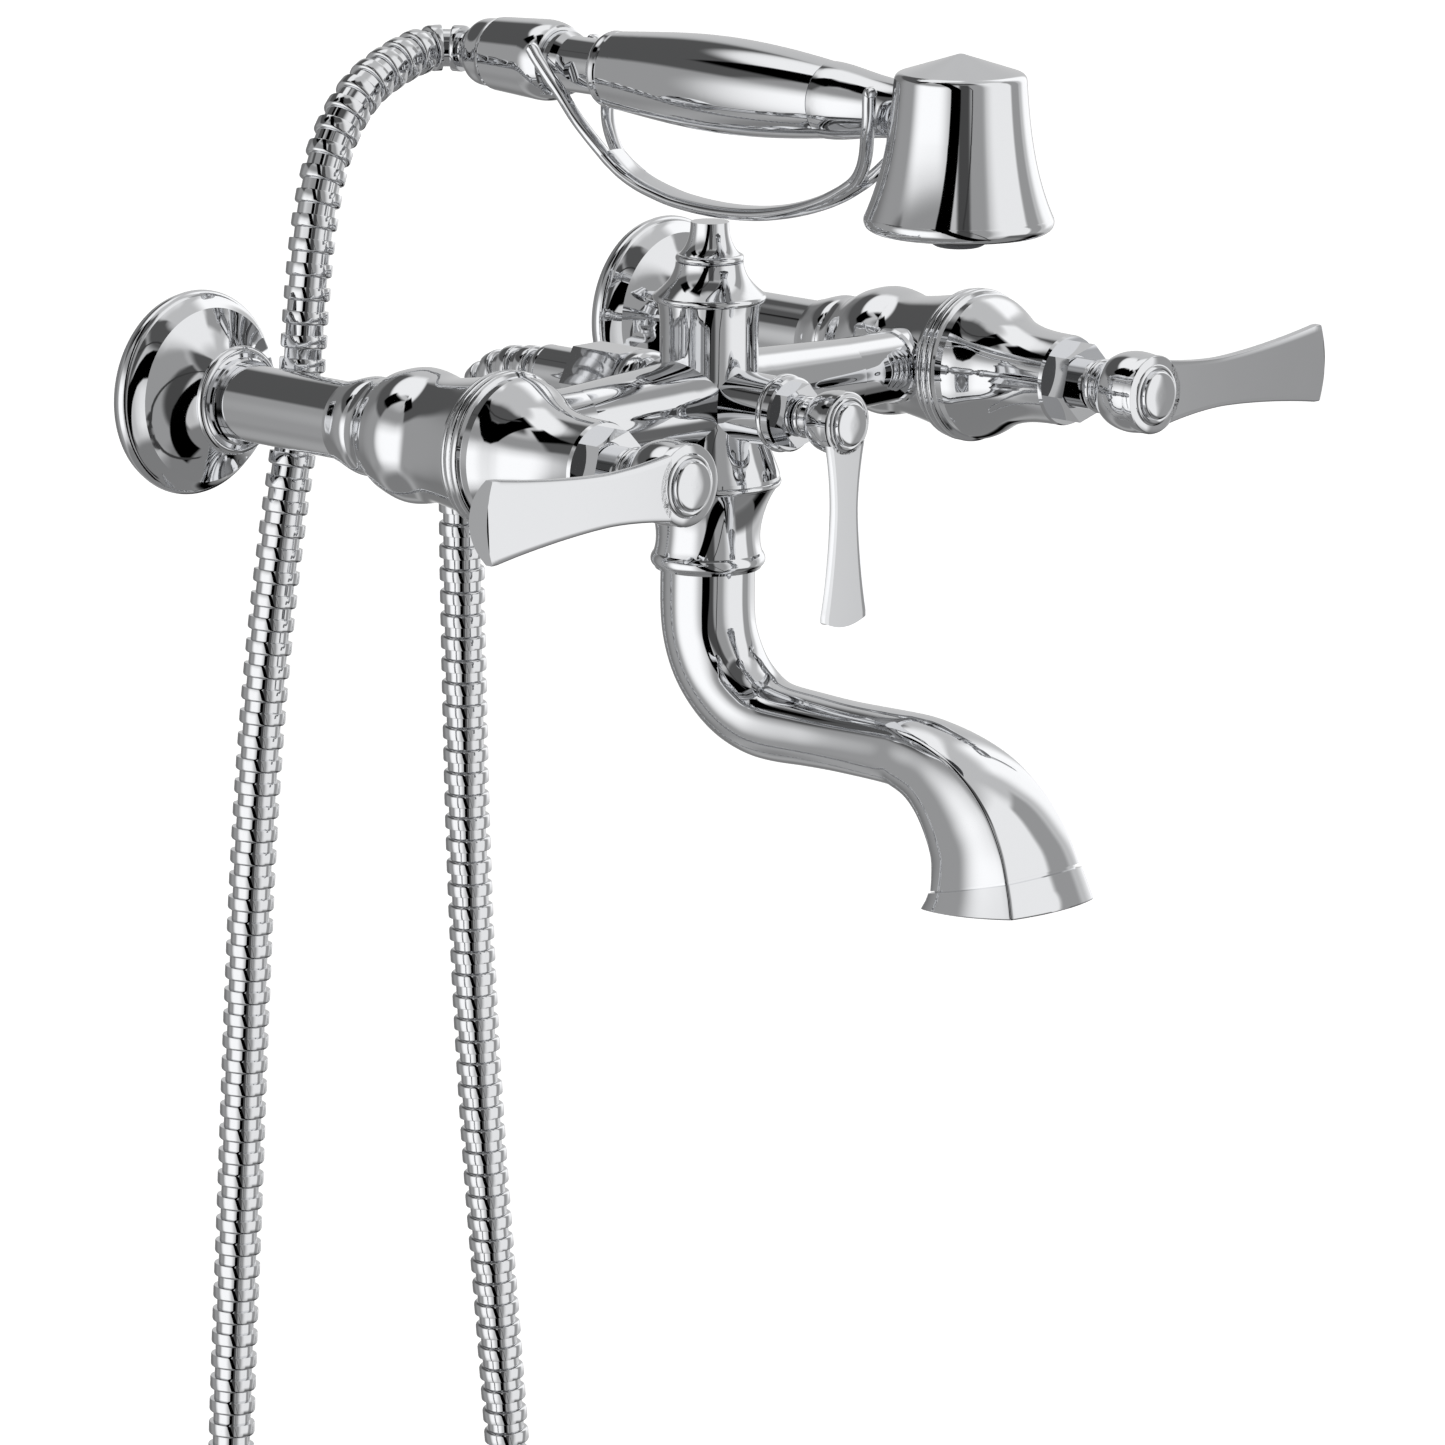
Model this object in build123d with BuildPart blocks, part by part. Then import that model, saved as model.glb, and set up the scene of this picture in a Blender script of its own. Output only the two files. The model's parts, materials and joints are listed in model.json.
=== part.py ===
"""Wall mounted bath faucet: exposed two-handle tub filler with a hand shower in a cradle.

Millimetres. The origin is on the wall, midway between the two water inlets.
+X runs along the wall, +Y goes into the wall and +Z is up, so the faucet stands at negative Y.
"""
import math
import os

from build123d import *

# ---- driving dimensions ---------------------------------------------------------------------
INLET_SPACING = 203.2  # 8 in between the inlet centres
REACH = 119.4  # wall to the axis of the centre column
WALL_FACE = 0.0

THREAD_R = 10.5  # 1/2 in female pipe thread at each inlet
THREAD_DEPTH = 14.0
LEG_R = 11.6  # inlet leg
LEG_BORE_R = 8.0
LEG_END = 80.0
FLANGE_R = 31.0  # wall flange, or escutcheon
FLANGE_DEPTH = 26.0
SHELL = 1.8  # wall of the thin covers

CHAMBER_R = 11.0  # bore of the valve body that holds the cartridge
RING_R = 23.6  # ribbed band of the valve bonnet
BONNET_START = 131.2
BONNET_END = 174.5
NUT_ACROSS = 21.0  # hex packing nut, across flats
NUT_END = 181.5
STEM_R = 6.0
FIT = 0.05  # radial running clearance of stems and swivels
HUB_START = 190.0
BLADE_FACE = 208.6  # front face of the main lever blades
LEVER_LENGTH = 80.5
ARM_END = 79.6  # where each cross arm meets the boss of its valve body

COLUMN_TOP = 30.0
COLUMN_BOTTOM = -23.5
COLLAR_BOTTOM = -51.0
SPOUT_R = 14.3
SPOUT_TOP = -51.3
SHANK_R = 12.0
OUTLET_Y = -241.2
OUTLET_TURN = 85.3  # degrees that the spout turns down from level
RISE_BEND_R = 31.4
FALL_BEND_R = 43.4
SPOUT_LEVEL = -94.3  # height of the level middle run of the spout

HANDSET_Z = 95.5  # axis of the hand shower in its cradle
HEAD_Y = -218.7
HOSE_OD = 14.0
HOSE_BORE = 8.0
HOSE_EXIT_Y = -23.0  # hose end under the handset
PORT_EXIT_Y = -50.0  # hose end at the outlet behind the column

HALF_SPACING = INLET_SPACING / 2
SIDES = {"left": -1, "right": 1}
os.makedirs("parts", exist_ok=True)


# ---- shared helpers -------------------------------------------------------------------------
def out_plane(x=0.0, z=0.0):
    """Sketch plane through a level axis that leaves the wall: radius, then distance from the wall."""
    return Plane(origin=(x, 0, z), x_dir=(1, 0, 0), z_dir=(0, 0, -1))


def out_axis(x=0.0, z=0.0):
    return Axis((x, 0, z), (0, -1, 0))


def up_plane(y=-REACH):
    """Sketch plane through a vertical axis: radius, then height."""
    return Plane(origin=(0, y, 0), x_dir=(1, 0, 0), z_dir=(0, -1, 0))


def up_axis(y=-REACH):
    return Axis((0, y, 0), (0, 0, 1))


def face_plane(distance, x=0.0, z=0.0):
    """Plane parallel to the wall, facing the room: local x is +X and local y is +Z."""
    return Plane(origin=(x, -distance, z), x_dir=(1, 0, 0), z_dir=(0, -1, 0))


def trace(*runs):
    """Draws an outline from runs of points. A run is ("line", ...) or ("curve", ...)."""
    first = runs[0][1]
    last = runs[-1][-1]
    for kind, *points in runs:
        if kind == "curve":
            Spline(*points)
        else:
            Polyline(*points)
    if (Vector(*first) - Vector(*last)).length > 1e-6:
        Line(last, first)


def turned(plane, axis, *runs):
    """A turned piece, from the outline of one side of its section."""
    with BuildPart() as piece:
        with BuildSketch(plane):
            with BuildLine():
                trace(*runs)
            make_face()
        revolve(axis=axis)
    return piece


def ring(plane, axis, inner, outer, start, end):
    """A plain ring, sleeve or disc, between two radii and two stations."""
    return turned(
        plane, axis, ("line", (inner, start), (outer, start), (outer, end), (inner, end), (inner, start))
    )


def save(piece, name):
    piece.part.label = name
    export_step(piece.part, f"parts/{name}.step")


# ---- wall flanges and inlet legs --------------------------------------------------------------
def make_escutcheon(x):
    """Bell shaped wall flange: rounded rim, straight cone, neck bead and a short sleeve on the leg."""
    bore = LEG_R + FIT
    return turned(
        out_plane(x),
        out_axis(x),
        ("line", (FLANGE_R - 0.8, WALL_FACE), (FLANGE_R - 0.4, 1.2)),
        ("curve", (FLANGE_R - 0.4, 1.2), (FLANGE_R, 2.6), (FLANGE_R - 0.4, 4.2), (FLANGE_R - 1.4, 5.2)),
        ("curve", (FLANGE_R - 1.4, 5.2), (28.6, 6.3), (27.4, 8.0), (26.4, 9.6)),
        ("curve", (26.4, 9.6), (20.4, 13.8), (16.6, 17.6), (14.7, 20.2)),
        ("curve", (14.7, 20.2), (16.0, 20.8), (16.5, 21.9), (16.0, 22.9), (14.4, 23.4)),
        ("line", (14.4, 23.4), (13.2, 23.6), (13.2, FLANGE_DEPTH - 0.5), (12.7, FLANGE_DEPTH)),
        ("line", (12.7, FLANGE_DEPTH), (bore, FLANGE_DEPTH), (bore, 19.0), (14.2, 18.0)),
        ("line", (14.2, 18.0), (24.6, 9.0), (FLANGE_R - 3.4, 3.6), (FLANGE_R - 3.0, WALL_FACE)),
    )


def make_inlet_leg(x):
    """Inlet leg: threaded socket at the wall, then a plain tube to the valve body."""
    hub_r = 13.6
    hub_end = 17.0
    return turned(
        out_plane(x),
        out_axis(x),
        ("line", (THREAD_R, WALL_FACE), (hub_r, WALL_FACE), (hub_r, hub_end), (LEG_R, hub_end)),
        ("line", (LEG_R, hub_end), (LEG_R, LEG_END), (LEG_BORE_R, LEG_END)),
        ("line", (LEG_BORE_R, LEG_END), (LEG_BORE_R, THREAD_DEPTH), (THREAD_R, THREAD_DEPTH)),
        ("line", (THREAD_R, THREAD_DEPTH), (THREAD_R, WALL_FACE)),
    )


def make_pair(inner, outer, start, end):
    """Two identical rings, one on each inlet axis, kept as one group."""
    with BuildPart() as pair:
        for side in SIDES.values():
            with BuildSketch(face_plane(start, side * HALF_SPACING)):
                Circle(outer)
                Circle(inner, mode=Mode.SUBTRACT)
            extrude(amount=end - start)
    return pair


save(make_pair(LEG_BORE_R, LEG_R - 0.1, LEG_END, LEG_END + 2), "leg_gaskets")
save(make_pair(6.5, 9.2, 97.3, 106.0), "seat_seals")


# ---- valve bodies -----------------------------------------------------------------------------
def make_valve_body(x, side):
    """Valve barrel with two beads, a chamber for the cartridge and a boss for the cross arm."""
    socket = LEG_R + FIT
    seat = LEG_END + 2
    with BuildPart() as piece:
        with BuildSketch(out_plane(x)):
            with BuildLine():
                trace(
                    ("line", (socket, 71.0), (12.4, 71.0)),
                    ("curve", (12.4, 71.0), (13.2, 74.0), (14.4, 78.0), (14.8, 80.5), (14.5, 82.6)),
                    ("curve", (14.5, 82.6), (14.6, 84.4), (15.9, 88.0), (18.4, 93.0)),
                    ("curve", (18.4, 93.0), (19.4, 96.4), (20.1, 100.6), (19.8, 104.0), (18.9, 108.0)),
                    ("curve", (18.9, 108.0), (18.5, 111.0), (18.9, 116.0), (20.2, 124.0), (21.3, 129.4)),
                    ("line", (21.3, 129.4), (21.4, BONNET_START), (16.2, BONNET_START)),
                    ("line", (16.2, BONNET_START), (16.2, 137.0), (CHAMBER_R, 137.0)),
                    ("line", (CHAMBER_R, 137.0), (CHAMBER_R, 97.0), (LEG_BORE_R, 97.0)),
                    ("line", (LEG_BORE_R, 97.0), (LEG_BORE_R, seat), (socket, seat), (socket, 71.0)),
                )
            make_face()
        revolve(axis=out_axis(x))
        boss = Plane(origin=(side * ARM_END, -REACH, 0), x_dir=(0, 1, 0), z_dir=(side, 0, 0))
        with BuildSketch(boss):
            Circle(11.2)
        with BuildSketch(boss.offset(1.2)):
            Circle(11.7)
        with BuildSketch(boss.offset(7.5)):
            Circle(11.7)
        loft(ruled=True)
        with BuildSketch(boss):
            Circle(6.5)
        extrude(amount=14, mode=Mode.SUBTRACT)
        with BuildSketch(out_plane(x)):
            with BuildLine():
                Polyline((0, 97), (CHAMBER_R, 97), (CHAMBER_R, 137), (0, 137), close=True)
            make_face()
        revolve(axis=out_axis(x), mode=Mode.SUBTRACT)
    return piece


def make_bonnet(x):
    """Trumpet shaped bonnet with a triple ribbed band, screwed over the end of the valve body."""
    inner = 16.2 + FIT
    hole = 9.2
    return turned(
        out_plane(x),
        out_axis(x),
        ("line", (inner, BONNET_START), (22.2, BONNET_START)),
        ("curve", (22.2, BONNET_START), (22.9, 131.6), (23.2, 132.3), (22.9, 133.0)),
        ("curve", (22.9, 133.0), (23.4, 133.6), (RING_R, 134.6), (23.2, 135.6)),
        ("curve", (23.2, 135.6), (23.6, 136.4), (23.6, 137.4), (22.9, 138.3)),
        ("line", (22.9, 138.3), (22.3, 138.8), (22.3, 141.4)),
        ("curve", (22.3, 141.4), (21.4, 143.6), (18.0, 149.6), (15.2, 157.6), (14.1, 166.0), (13.9, 173.4)),
        ("line", (13.9, 173.4), (13.5, BONNET_END), (hole, BONNET_END), (hole, 170.5)),
        ("line", (hole, 170.5), (12.0, 170.5)),
        ("curve", (12.0, 170.5), (12.4, 162.0), (13.2, 155.0), (15.0, 147.5)),
        ("line", (15.0, 147.5), (inner, 141.0), (inner, BONNET_START)),
    )


def make_cartridge(x):
    """Quarter-turn cartridge: lower cage with two windows, and a neck for the stem."""
    outer = CHAMBER_R - FIT
    with BuildPart() as piece:
        with BuildSketch(out_plane(x)):
            with BuildLine():
                trace(
                    ("line", (9.3, 100.0), (outer, 100.0), (outer, 137.0), (14.0, 137.0), (14.0, 141.0)),
                    ("line", (14.0, 141.0), (9.0, 141.0), (9.0, 168.0), (STEM_R + FIT, 168.0)),
                    ("line", (STEM_R + FIT, 168.0), (STEM_R + FIT, 130.0), (9.3, 130.0), (9.3, 100.0)),
                )
            make_face()
        revolve(axis=out_axis(x))
        with BuildSketch(Plane(origin=(x - 15, -REACH, 0), x_dir=(0, 1, 0), z_dir=(1, 0, 0))):
            Rectangle(12, 11)
        extrude(amount=30, mode=Mode.SUBTRACT)
    return piece


def make_fixed_disc(x):
    """Ceramic disc that stays put, with two ports."""
    with BuildPart() as piece:
        with BuildSketch(face_plane(106.0, x)):
            Circle(9.2)
            with PolarLocations(5.2, 2, 90):
                Circle(3.0, mode=Mode.SUBTRACT)
        extrude(amount=3.5)
    return piece


def make_moving_disc(x):
    """Ceramic disc that the stem turns, with two open sectors that line up with the ports."""
    with BuildPart() as piece:
        with BuildSketch(face_plane(109.5 + FIT, x)):
            Circle(9.2)
            with PolarLocations(9.2, 2, 90):
                Circle(6.0, mode=Mode.SUBTRACT)
            Rectangle(9.0, 3.0, mode=Mode.SUBTRACT)
        extrude(amount=3.5)
    return piece


def make_packing_nut(x):
    """Hexagonal packing nut on the end of the bonnet."""
    with BuildPart() as piece:
        with BuildSketch(face_plane(BONNET_END, x)):
            RegularPolygon(NUT_ACROSS / 2, 6, major_radius=False, rotation=15)
            Circle(STEM_R + FIT, mode=Mode.SUBTRACT)
        extrude(amount=NUT_END - BONNET_END)
        with BuildSketch(face_plane(168.3, x)):
            Circle(9.15)
            Circle(STEM_R + FIT, mode=Mode.SUBTRACT)
        extrude(amount=BONNET_END - 168.3)
        with BuildSketch(face_plane(NUT_END, x)):
            Circle(7.6)
            Circle(STEM_R + FIT, mode=Mode.SUBTRACT)
        extrude(amount=4.0)
        chamfer(piece.faces().sort_by(Axis.Y)[0].edges().sort_by(SortBy.LENGTH)[-1], 0.5)
    return piece


def make_stem(x):
    """Stem: drive blade, long shaft, a beaded collar outside the nut and a square for the lever."""
    with BuildPart() as piece:
        with BuildSketch(out_plane(x)):
            with BuildLine():
                trace(
                    ("line", (0, 113.2), (9.1, 113.2), (9.1, 118.0), (STEM_R, 118.0), (STEM_R, 186.0)),
                    ("line", (STEM_R, 186.0), (7.4, 186.0)),
                    ("curve", (7.4, 186.0), (8.2, 186.8), (8.2, 187.9), (7.2, 188.6)),
                    ("line", (7.2, 188.6), (7.2, HUB_START), (5.0, HUB_START), (5.0, 200.0), (0, 200.0)),
                    ("line", (0, 200.0), (0, 113.2)),
                )
            make_face()
        revolve(axis=out_axis(x))
        with BuildSketch(face_plane(109.8, x)):
            Rectangle(8.6, 2.6)
        extrude(amount=4.0)
        with BuildSketch(face_plane(200.0, x)):
            Circle(1.7)
        extrude(amount=-12, mode=Mode.SUBTRACT)
    return piece


def blade_outline(plane, hub_r, waist, waist_at, tip, length, bow):
    """Lever blade that leaves the hub along the plane's x: waisted, then flared to a bowed tip."""
    start = hub_r * 0.6
    side = math.sqrt(hub_r**2 - start**2)
    flare = length - bow
    with BuildSketch(plane) as blade:
        with BuildLine():
            Spline((start, side), (waist_at * 0.72, waist * 0.56), (waist_at, waist / 2), (flare, tip / 2))
            ThreePointArc((flare, tip / 2), (length, 0), (flare, -tip / 2))
            Spline((flare, -tip / 2), (waist_at, -waist / 2), (waist_at * 0.72, -waist * 0.56), (start, -side))
            Line((start, -side), (start, side))
        make_face()
    return blade.sketch


def make_lever(x, side):
    """Main lever: barrel hub on the stem and a long flat blade that points away from the column."""
    hub_r = 12.0
    blade = Plane(origin=(x, -BLADE_FACE, 0), x_dir=(side, 0, 0), z_dir=(0, 1, 0))
    with BuildPart() as piece:
        with BuildSketch(out_plane(x)):
            with BuildLine():
                trace(
                    ("line", (5.0 + FIT, HUB_START + 0.1), (7.4, HUB_START + 0.1)),
                    ("curve", (7.4, HUB_START + 0.1), (9.0, 191.4), (11.4, 195.4), (12.4, 200.4), (12.0, 205.6)),
                    ("line", (12.0, 205.6), (12.0, BLADE_FACE), (7.6, BLADE_FACE), (7.6, 204.0)),
                    ("line", (7.6, 204.0), (2.2, 204.0), (2.2, 200.1), (5.0 + FIT, 200.1)),
                    ("line", (5.0 + FIT, 200.1), (5.0 + FIT, HUB_START + 0.1)),
                )
            make_face()
        revolve(axis=out_axis(x))
        extrude(blade_outline(blade, hub_r, 15.2, 31.0, 24.0, LEVER_LENGTH, 2.4), amount=7.0)
        with BuildSketch(out_plane(x)):
            with BuildLine():
                Polyline((0, 189), (5.0 + FIT, 189), (5.0 + FIT, 200.1), (2.2, 200.1), (2.2, 204.0))
                Polyline((2.2, 204.0), (7.6, 204.0), (7.6, 212), (0, 212), (0, 189))
            make_face()
        revolve(axis=out_axis(x), mode=Mode.SUBTRACT)
    return piece


def make_lever_screw(plane, axis, seat, shank):
    """Cheese head screw that holds a lever on its stem."""
    return turned(
        plane,
        axis,
        ("line", (0, seat - shank), (1.65, seat - shank), (1.65, seat), (3.4, seat), (3.4, seat + 2.4)),
        ("line", (3.4, seat + 2.4), (1.2, seat + 2.4), (1.2, seat + 1.0), (0, seat + 1.0), (0, seat - shank)),
    )


def make_button(plane, axis, seat, face, outer, step):
    """Index button that closes the hub: a stepped ring and a low domed disc."""
    return turned(
        plane,
        axis,
        ("line", (0, seat), (outer - 1.9, seat), (outer - 1.9, face), (outer, face), (outer, face + 0.7)),
        ("curve", (outer, face + 0.7), (outer - 0.5, face + 1.2), (step + 0.5, face + 1.3)),
        ("line", (step + 0.5, face + 1.3), (step, face + 1.5), (step, face + 2.2)),
        ("curve", (step, face + 2.2), (step - 0.7, face + 2.6), (step / 2, face + 2.8), (0, face + 2.9)),
        ("line", (0, face + 2.9), (0, seat)),
    )


for side_name, side in SIDES.items():
    x = side * HALF_SPACING
    plane = out_plane(x)
    axis = out_axis(x)
    save(make_escutcheon(x), f"escutcheon_{side_name}")
    save(make_inlet_leg(x), f"inlet_leg_{side_name}")
    save(make_valve_body(x, side), f"valve_body_{side_name}")
    save(make_bonnet(x), f"bonnet_{side_name}")
    save(make_cartridge(x), f"cartridge_{side_name}")
    save(make_fixed_disc(x), f"fixed_disc_{side_name}")
    save(make_moving_disc(x), f"moving_disc_{side_name}")
    save(make_packing_nut(x), f"packing_nut_{side_name}")
    save(make_stem(x), f"stem_{side_name}")
    save(make_lever(x, side), f"lever_{side_name}")
    save(make_lever_screw(plane, axis, 204.05, 10.0), f"lever_screw_{side_name}")
    save(make_button(plane, axis, 206.6, BLADE_FACE, 9.4, 7.4), f"index_button_{side_name}")

# ---- centre body: column, cross arms, diverter branch and hose port ----------------------------
BRANCH_R = 10.5
BRANCH_END = 149.0
PORT_START = 100.0
PORT_R = 10.4
DIVERTER_R = 7.5

with BuildPart() as center_body:
    with BuildSketch(up_plane()):
        with BuildLine():
            trace(
                ("line", (0, COLUMN_TOP), (15.6, COLUMN_TOP)),
                ("curve", (15.6, COLUMN_TOP), (15.0, 26.0), (14.8, 19.0), (15.0, 6.0), (16.2, -6.0)),
                ("curve", (16.2, -6.0), (17.6, -12.0), (20.0, -18.0), (21.6, -22.4)),
                ("line", (21.6, -22.4), (21.6, COLUMN_BOTTOM), (15.0, COLUMN_BOTTOM), (15.0, -30.0)),
                ("line", (15.0, -30.0), (0, -30.0), (0, COLUMN_TOP)),
            )
        make_face()
    revolve(axis=up_axis())
    for side in SIDES.values():
        arm = Plane(origin=(0, -REACH, 0), x_dir=(0, 1, 0), z_dir=(side, 0, 0))
        with BuildSketch(arm.offset(9)):
            Circle(13.6)
        with BuildSketch(arm.offset(18)):
            Circle(13.2)
        with BuildSketch(arm.offset(58)):
            Circle(11.2)
        with BuildSketch(arm.offset(ARM_END)):
            Circle(10.8)
        loft(ruled=True)
    with BuildSketch(face_plane(REACH)):
        Circle(BRANCH_R)
    extrude(amount=BRANCH_END - REACH)
    with BuildSketch(face_plane(PORT_START)):
        Circle(PORT_R)
    extrude(amount=REACH - PORT_START)
    # waterways: the cross bore, the drop to the spout, the diverter chamber and the hose port
    with BuildSketch(Plane(origin=(-ARM_END, -REACH, 0), x_dir=(0, 1, 0), z_dir=(1, 0, 0))):
        Circle(6.5)
    extrude(amount=2 * ARM_END, mode=Mode.SUBTRACT)
    with BuildSketch(Plane(origin=(0, -REACH, -30), x_dir=(1, 0, 0), z_dir=(0, 0, 1))):
        Circle(9.0)
    extrude(amount=32, mode=Mode.SUBTRACT)
    with BuildSketch(face_plane(BRANCH_END)):
        Circle(DIVERTER_R + FIT)
    extrude(amount=-24, mode=Mode.SUBTRACT)
    with BuildSketch(face_plane(PORT_START)):
        Circle(5.0)
    extrude(amount=REACH - PORT_START, mode=Mode.SUBTRACT)
    with BuildSketch(Plane(origin=(0, -REACH, COLUMN_TOP), x_dir=(1, 0, 0), z_dir=(0, 0, 1))):
        Circle(9.0 + FIT)
    extrude(amount=-10, mode=Mode.SUBTRACT)
save(center_body, "center_body")

column_cap = turned(
    up_plane(),
    up_axis(),
    ("line", (0, 20.2), (9.0, 20.2), (9.0, COLUMN_TOP), (16.2, COLUMN_TOP)),
    ("curve", (16.2, COLUMN_TOP), (16.9, 30.6), (17.0, 31.6), (16.4, 32.4)),
    ("curve", (16.4, 32.4), (15.2, 33.4), (12.6, 36.0), (11.0, 38.6), (10.2, 41.6)),
    ("line", (10.2, 41.6), (10.2, 42.0), (4.05, 42.0), (4.05, 34.0), (0, 34.0), (0, 20.2)),
)
save(column_cap, "column_cap")

cradle_post = turned(
    up_plane(),
    up_axis(),
    ("line", (0, 34.2), (4.0, 34.2), (4.0, 42.0), (9.6, 42.0)),
    ("curve", (9.6, 42.0), (10.2, 42.6), (10.2, 43.6), (9.2, 44.3)),
    ("curve", (9.2, 44.3), (7.6, 46.2), (6.3, 49.4), (5.8, 54.0)),
    ("line", (5.8, 54.0), (0, 54.0), (0, 34.2)),
)
save(cradle_post, "cradle_post")

# ---- cradle: a boat shaped strap with a forked saddle at each end ------------------------------
FORK_GAP = 10.2  # half the gap between the prongs
FORK_R = 13.8  # half the width over the prongs
STRAP_THICK = 3.6
STRAP_HALF = 5.0  # half the width of the strap
FORKS = {"rear": ((-76.0, 74.6), (-61.6, 101.6)), "front": ((-185.6, 76.6), (-195.6, 102.0))}


def fork_frame(foot, tip):
    """Plane of a fork: local x is +X, local y runs from its foot to the prong tips."""
    rise = Vector(0, tip[0] - foot[0], tip[1] - foot[1])
    return Plane(origin=(0, *foot), x_dir=(1, 0, 0), z_dir=Vector(1, 0, 0).cross(rise)), rise.length


with BuildPart() as cradle:
    strap_plane = Plane(origin=(0, 0, 0), x_dir=(0, 1, 0), z_dir=(1, 0, 0))
    with BuildSketch(strap_plane.offset(-STRAP_HALF)):
        with BuildLine() as keel:
            lower = [(-73.2, 73.4), (-90.3, 62.6), (-107.0, 57.6), (-REACH, 56.0), (-140.0, 56.4)]
            lower += [(-156.0, 58.6), (-172.0, 64.2), (-188.0, 75.6)]
            upper = [(-184.0, 79.6), (-171.0, 68.8), (-155.0, 63.0), (-139.6, 60.8), (-REACH, 60.4)]
            upper += [(-108.4, 62.0), (-93.0, 66.8), (-77.2, 76.6)]
            Spline(*lower)
            Line(lower[-1], upper[0])
            Spline(*upper)
            Line(upper[-1], lower[0])
        make_face()
    extrude(amount=2 * STRAP_HALF)
    for foot, tip in FORKS.values():
        frame, height = fork_frame(foot, tip)
        with BuildSketch(frame.offset(-STRAP_THICK / 2)):
            with BuildLine():
                Spline((-STRAP_HALF, -2), (-8.4, 3.0), (-FORK_R, 13.0), (-FORK_R, height))
                Line((-FORK_R, height), (FORK_R, height))
                Spline((FORK_R, height), (FORK_R, 13.0), (8.4, 3.0), (STRAP_HALF, -2))
                Line((STRAP_HALF, -2), (-STRAP_HALF, -2))
            make_face()
        extrude(amount=STRAP_THICK)
    with BuildSketch(face_plane(40, 0, HANDSET_Z)):
        Circle(FORK_GAP)
        with Locations((0, 15)):
            Rectangle(2 * FORK_GAP, 30)
    extrude(amount=180, mode=Mode.SUBTRACT)
    with BuildSketch(Plane(origin=(0, -REACH, 54), x_dir=(1, 0, 0), z_dir=(0, 0, 1))):
        Circle(6.4)
    extrude(amount=4)
save(cradle, "cradle")

# ---- diverter -----------------------------------------------------------------------------------
DIVERTER_FACE = 176.0
DIVERTER_HUB = 163.4
diverter_plane = out_plane()
diverter_axis = out_axis()

with BuildPart() as diverter_cartridge:
    with BuildSketch(diverter_plane):
        with BuildLine():
            trace(
                ("line", (5.2, 127.0), (DIVERTER_R, 127.0), (DIVERTER_R, 151.0), (3.5 + FIT, 151.0)),
                ("line", (3.5 + FIT, 151.0), (3.5 + FIT, 140.0), (5.2, 140.0), (5.2, 127.0)),
            )
        make_face()
    revolve(axis=diverter_axis)
    with BuildSketch(Plane(origin=(-10, -131.5, 0), x_dir=(0, 1, 0), z_dir=(1, 0, 0))):
        Rectangle(5, 5)
    extrude(amount=20, mode=Mode.SUBTRACT)
save(diverter_cartridge, "diverter_cartridge")

diverter_bonnet = turned(
    diverter_plane,
    diverter_axis,
    ("line", (DIVERTER_R + FIT, BRANCH_END), (11.0, BRANCH_END)),
    ("curve", (11.0, BRANCH_END), (11.7, 149.6), (11.7, 150.6), (11.2, 151.2)),
    ("line", (11.2, 151.2), (11.2, 153.6), (10.6, 154.2), (6.0, 154.2), (6.0, 151.2)),
    ("line", (6.0, 151.2), (DIVERTER_R + FIT, 151.2), (DIVERTER_R + FIT, BRANCH_END)),
)
save(diverter_bonnet, "diverter_bonnet")

with BuildPart() as diverter_nut:
    with BuildSketch(face_plane(154.2)):
        RegularPolygon(8.4, 6, major_radius=False, rotation=15)
        Circle(3.5 + FIT, mode=Mode.SUBTRACT)
    extrude(amount=3.8)
    with BuildSketch(face_plane(151.4)):
        Circle(5.9)
        Circle(3.5 + FIT, mode=Mode.SUBTRACT)
    extrude(amount=2.8)
save(diverter_nut, "diverter_nut")

with BuildPart() as diverter_stem:
    with BuildSketch(diverter_plane):
        with BuildLine():
            trace(
                ("line", (0, 128.0), (5.1, 128.0), (5.1, 138.0), (3.5, 138.0), (3.5, 158.4), (5.4, 158.4)),
                ("curve", (5.4, 158.4), (6.2, 159.2), (6.2, 160.2), (5.4, 161.0)),
                ("line", (5.4, 161.0), (5.2, DIVERTER_HUB), (3.0, DIVERTER_HUB), (3.0, 169.0), (0, 169.0)),
                ("line", (0, 169.0), (0, 128.0)),
            )
        make_face()
    revolve(axis=diverter_axis)
    with BuildSketch(face_plane(128.0)):
        with Locations((0, 4)):
            Rectangle(12, 5)
    extrude(amount=6, mode=Mode.SUBTRACT)
    with BuildSketch(face_plane(169.0)):
        Circle(1.7)
    extrude(amount=-8, mode=Mode.SUBTRACT)
save(diverter_stem, "diverter_stem")

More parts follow.
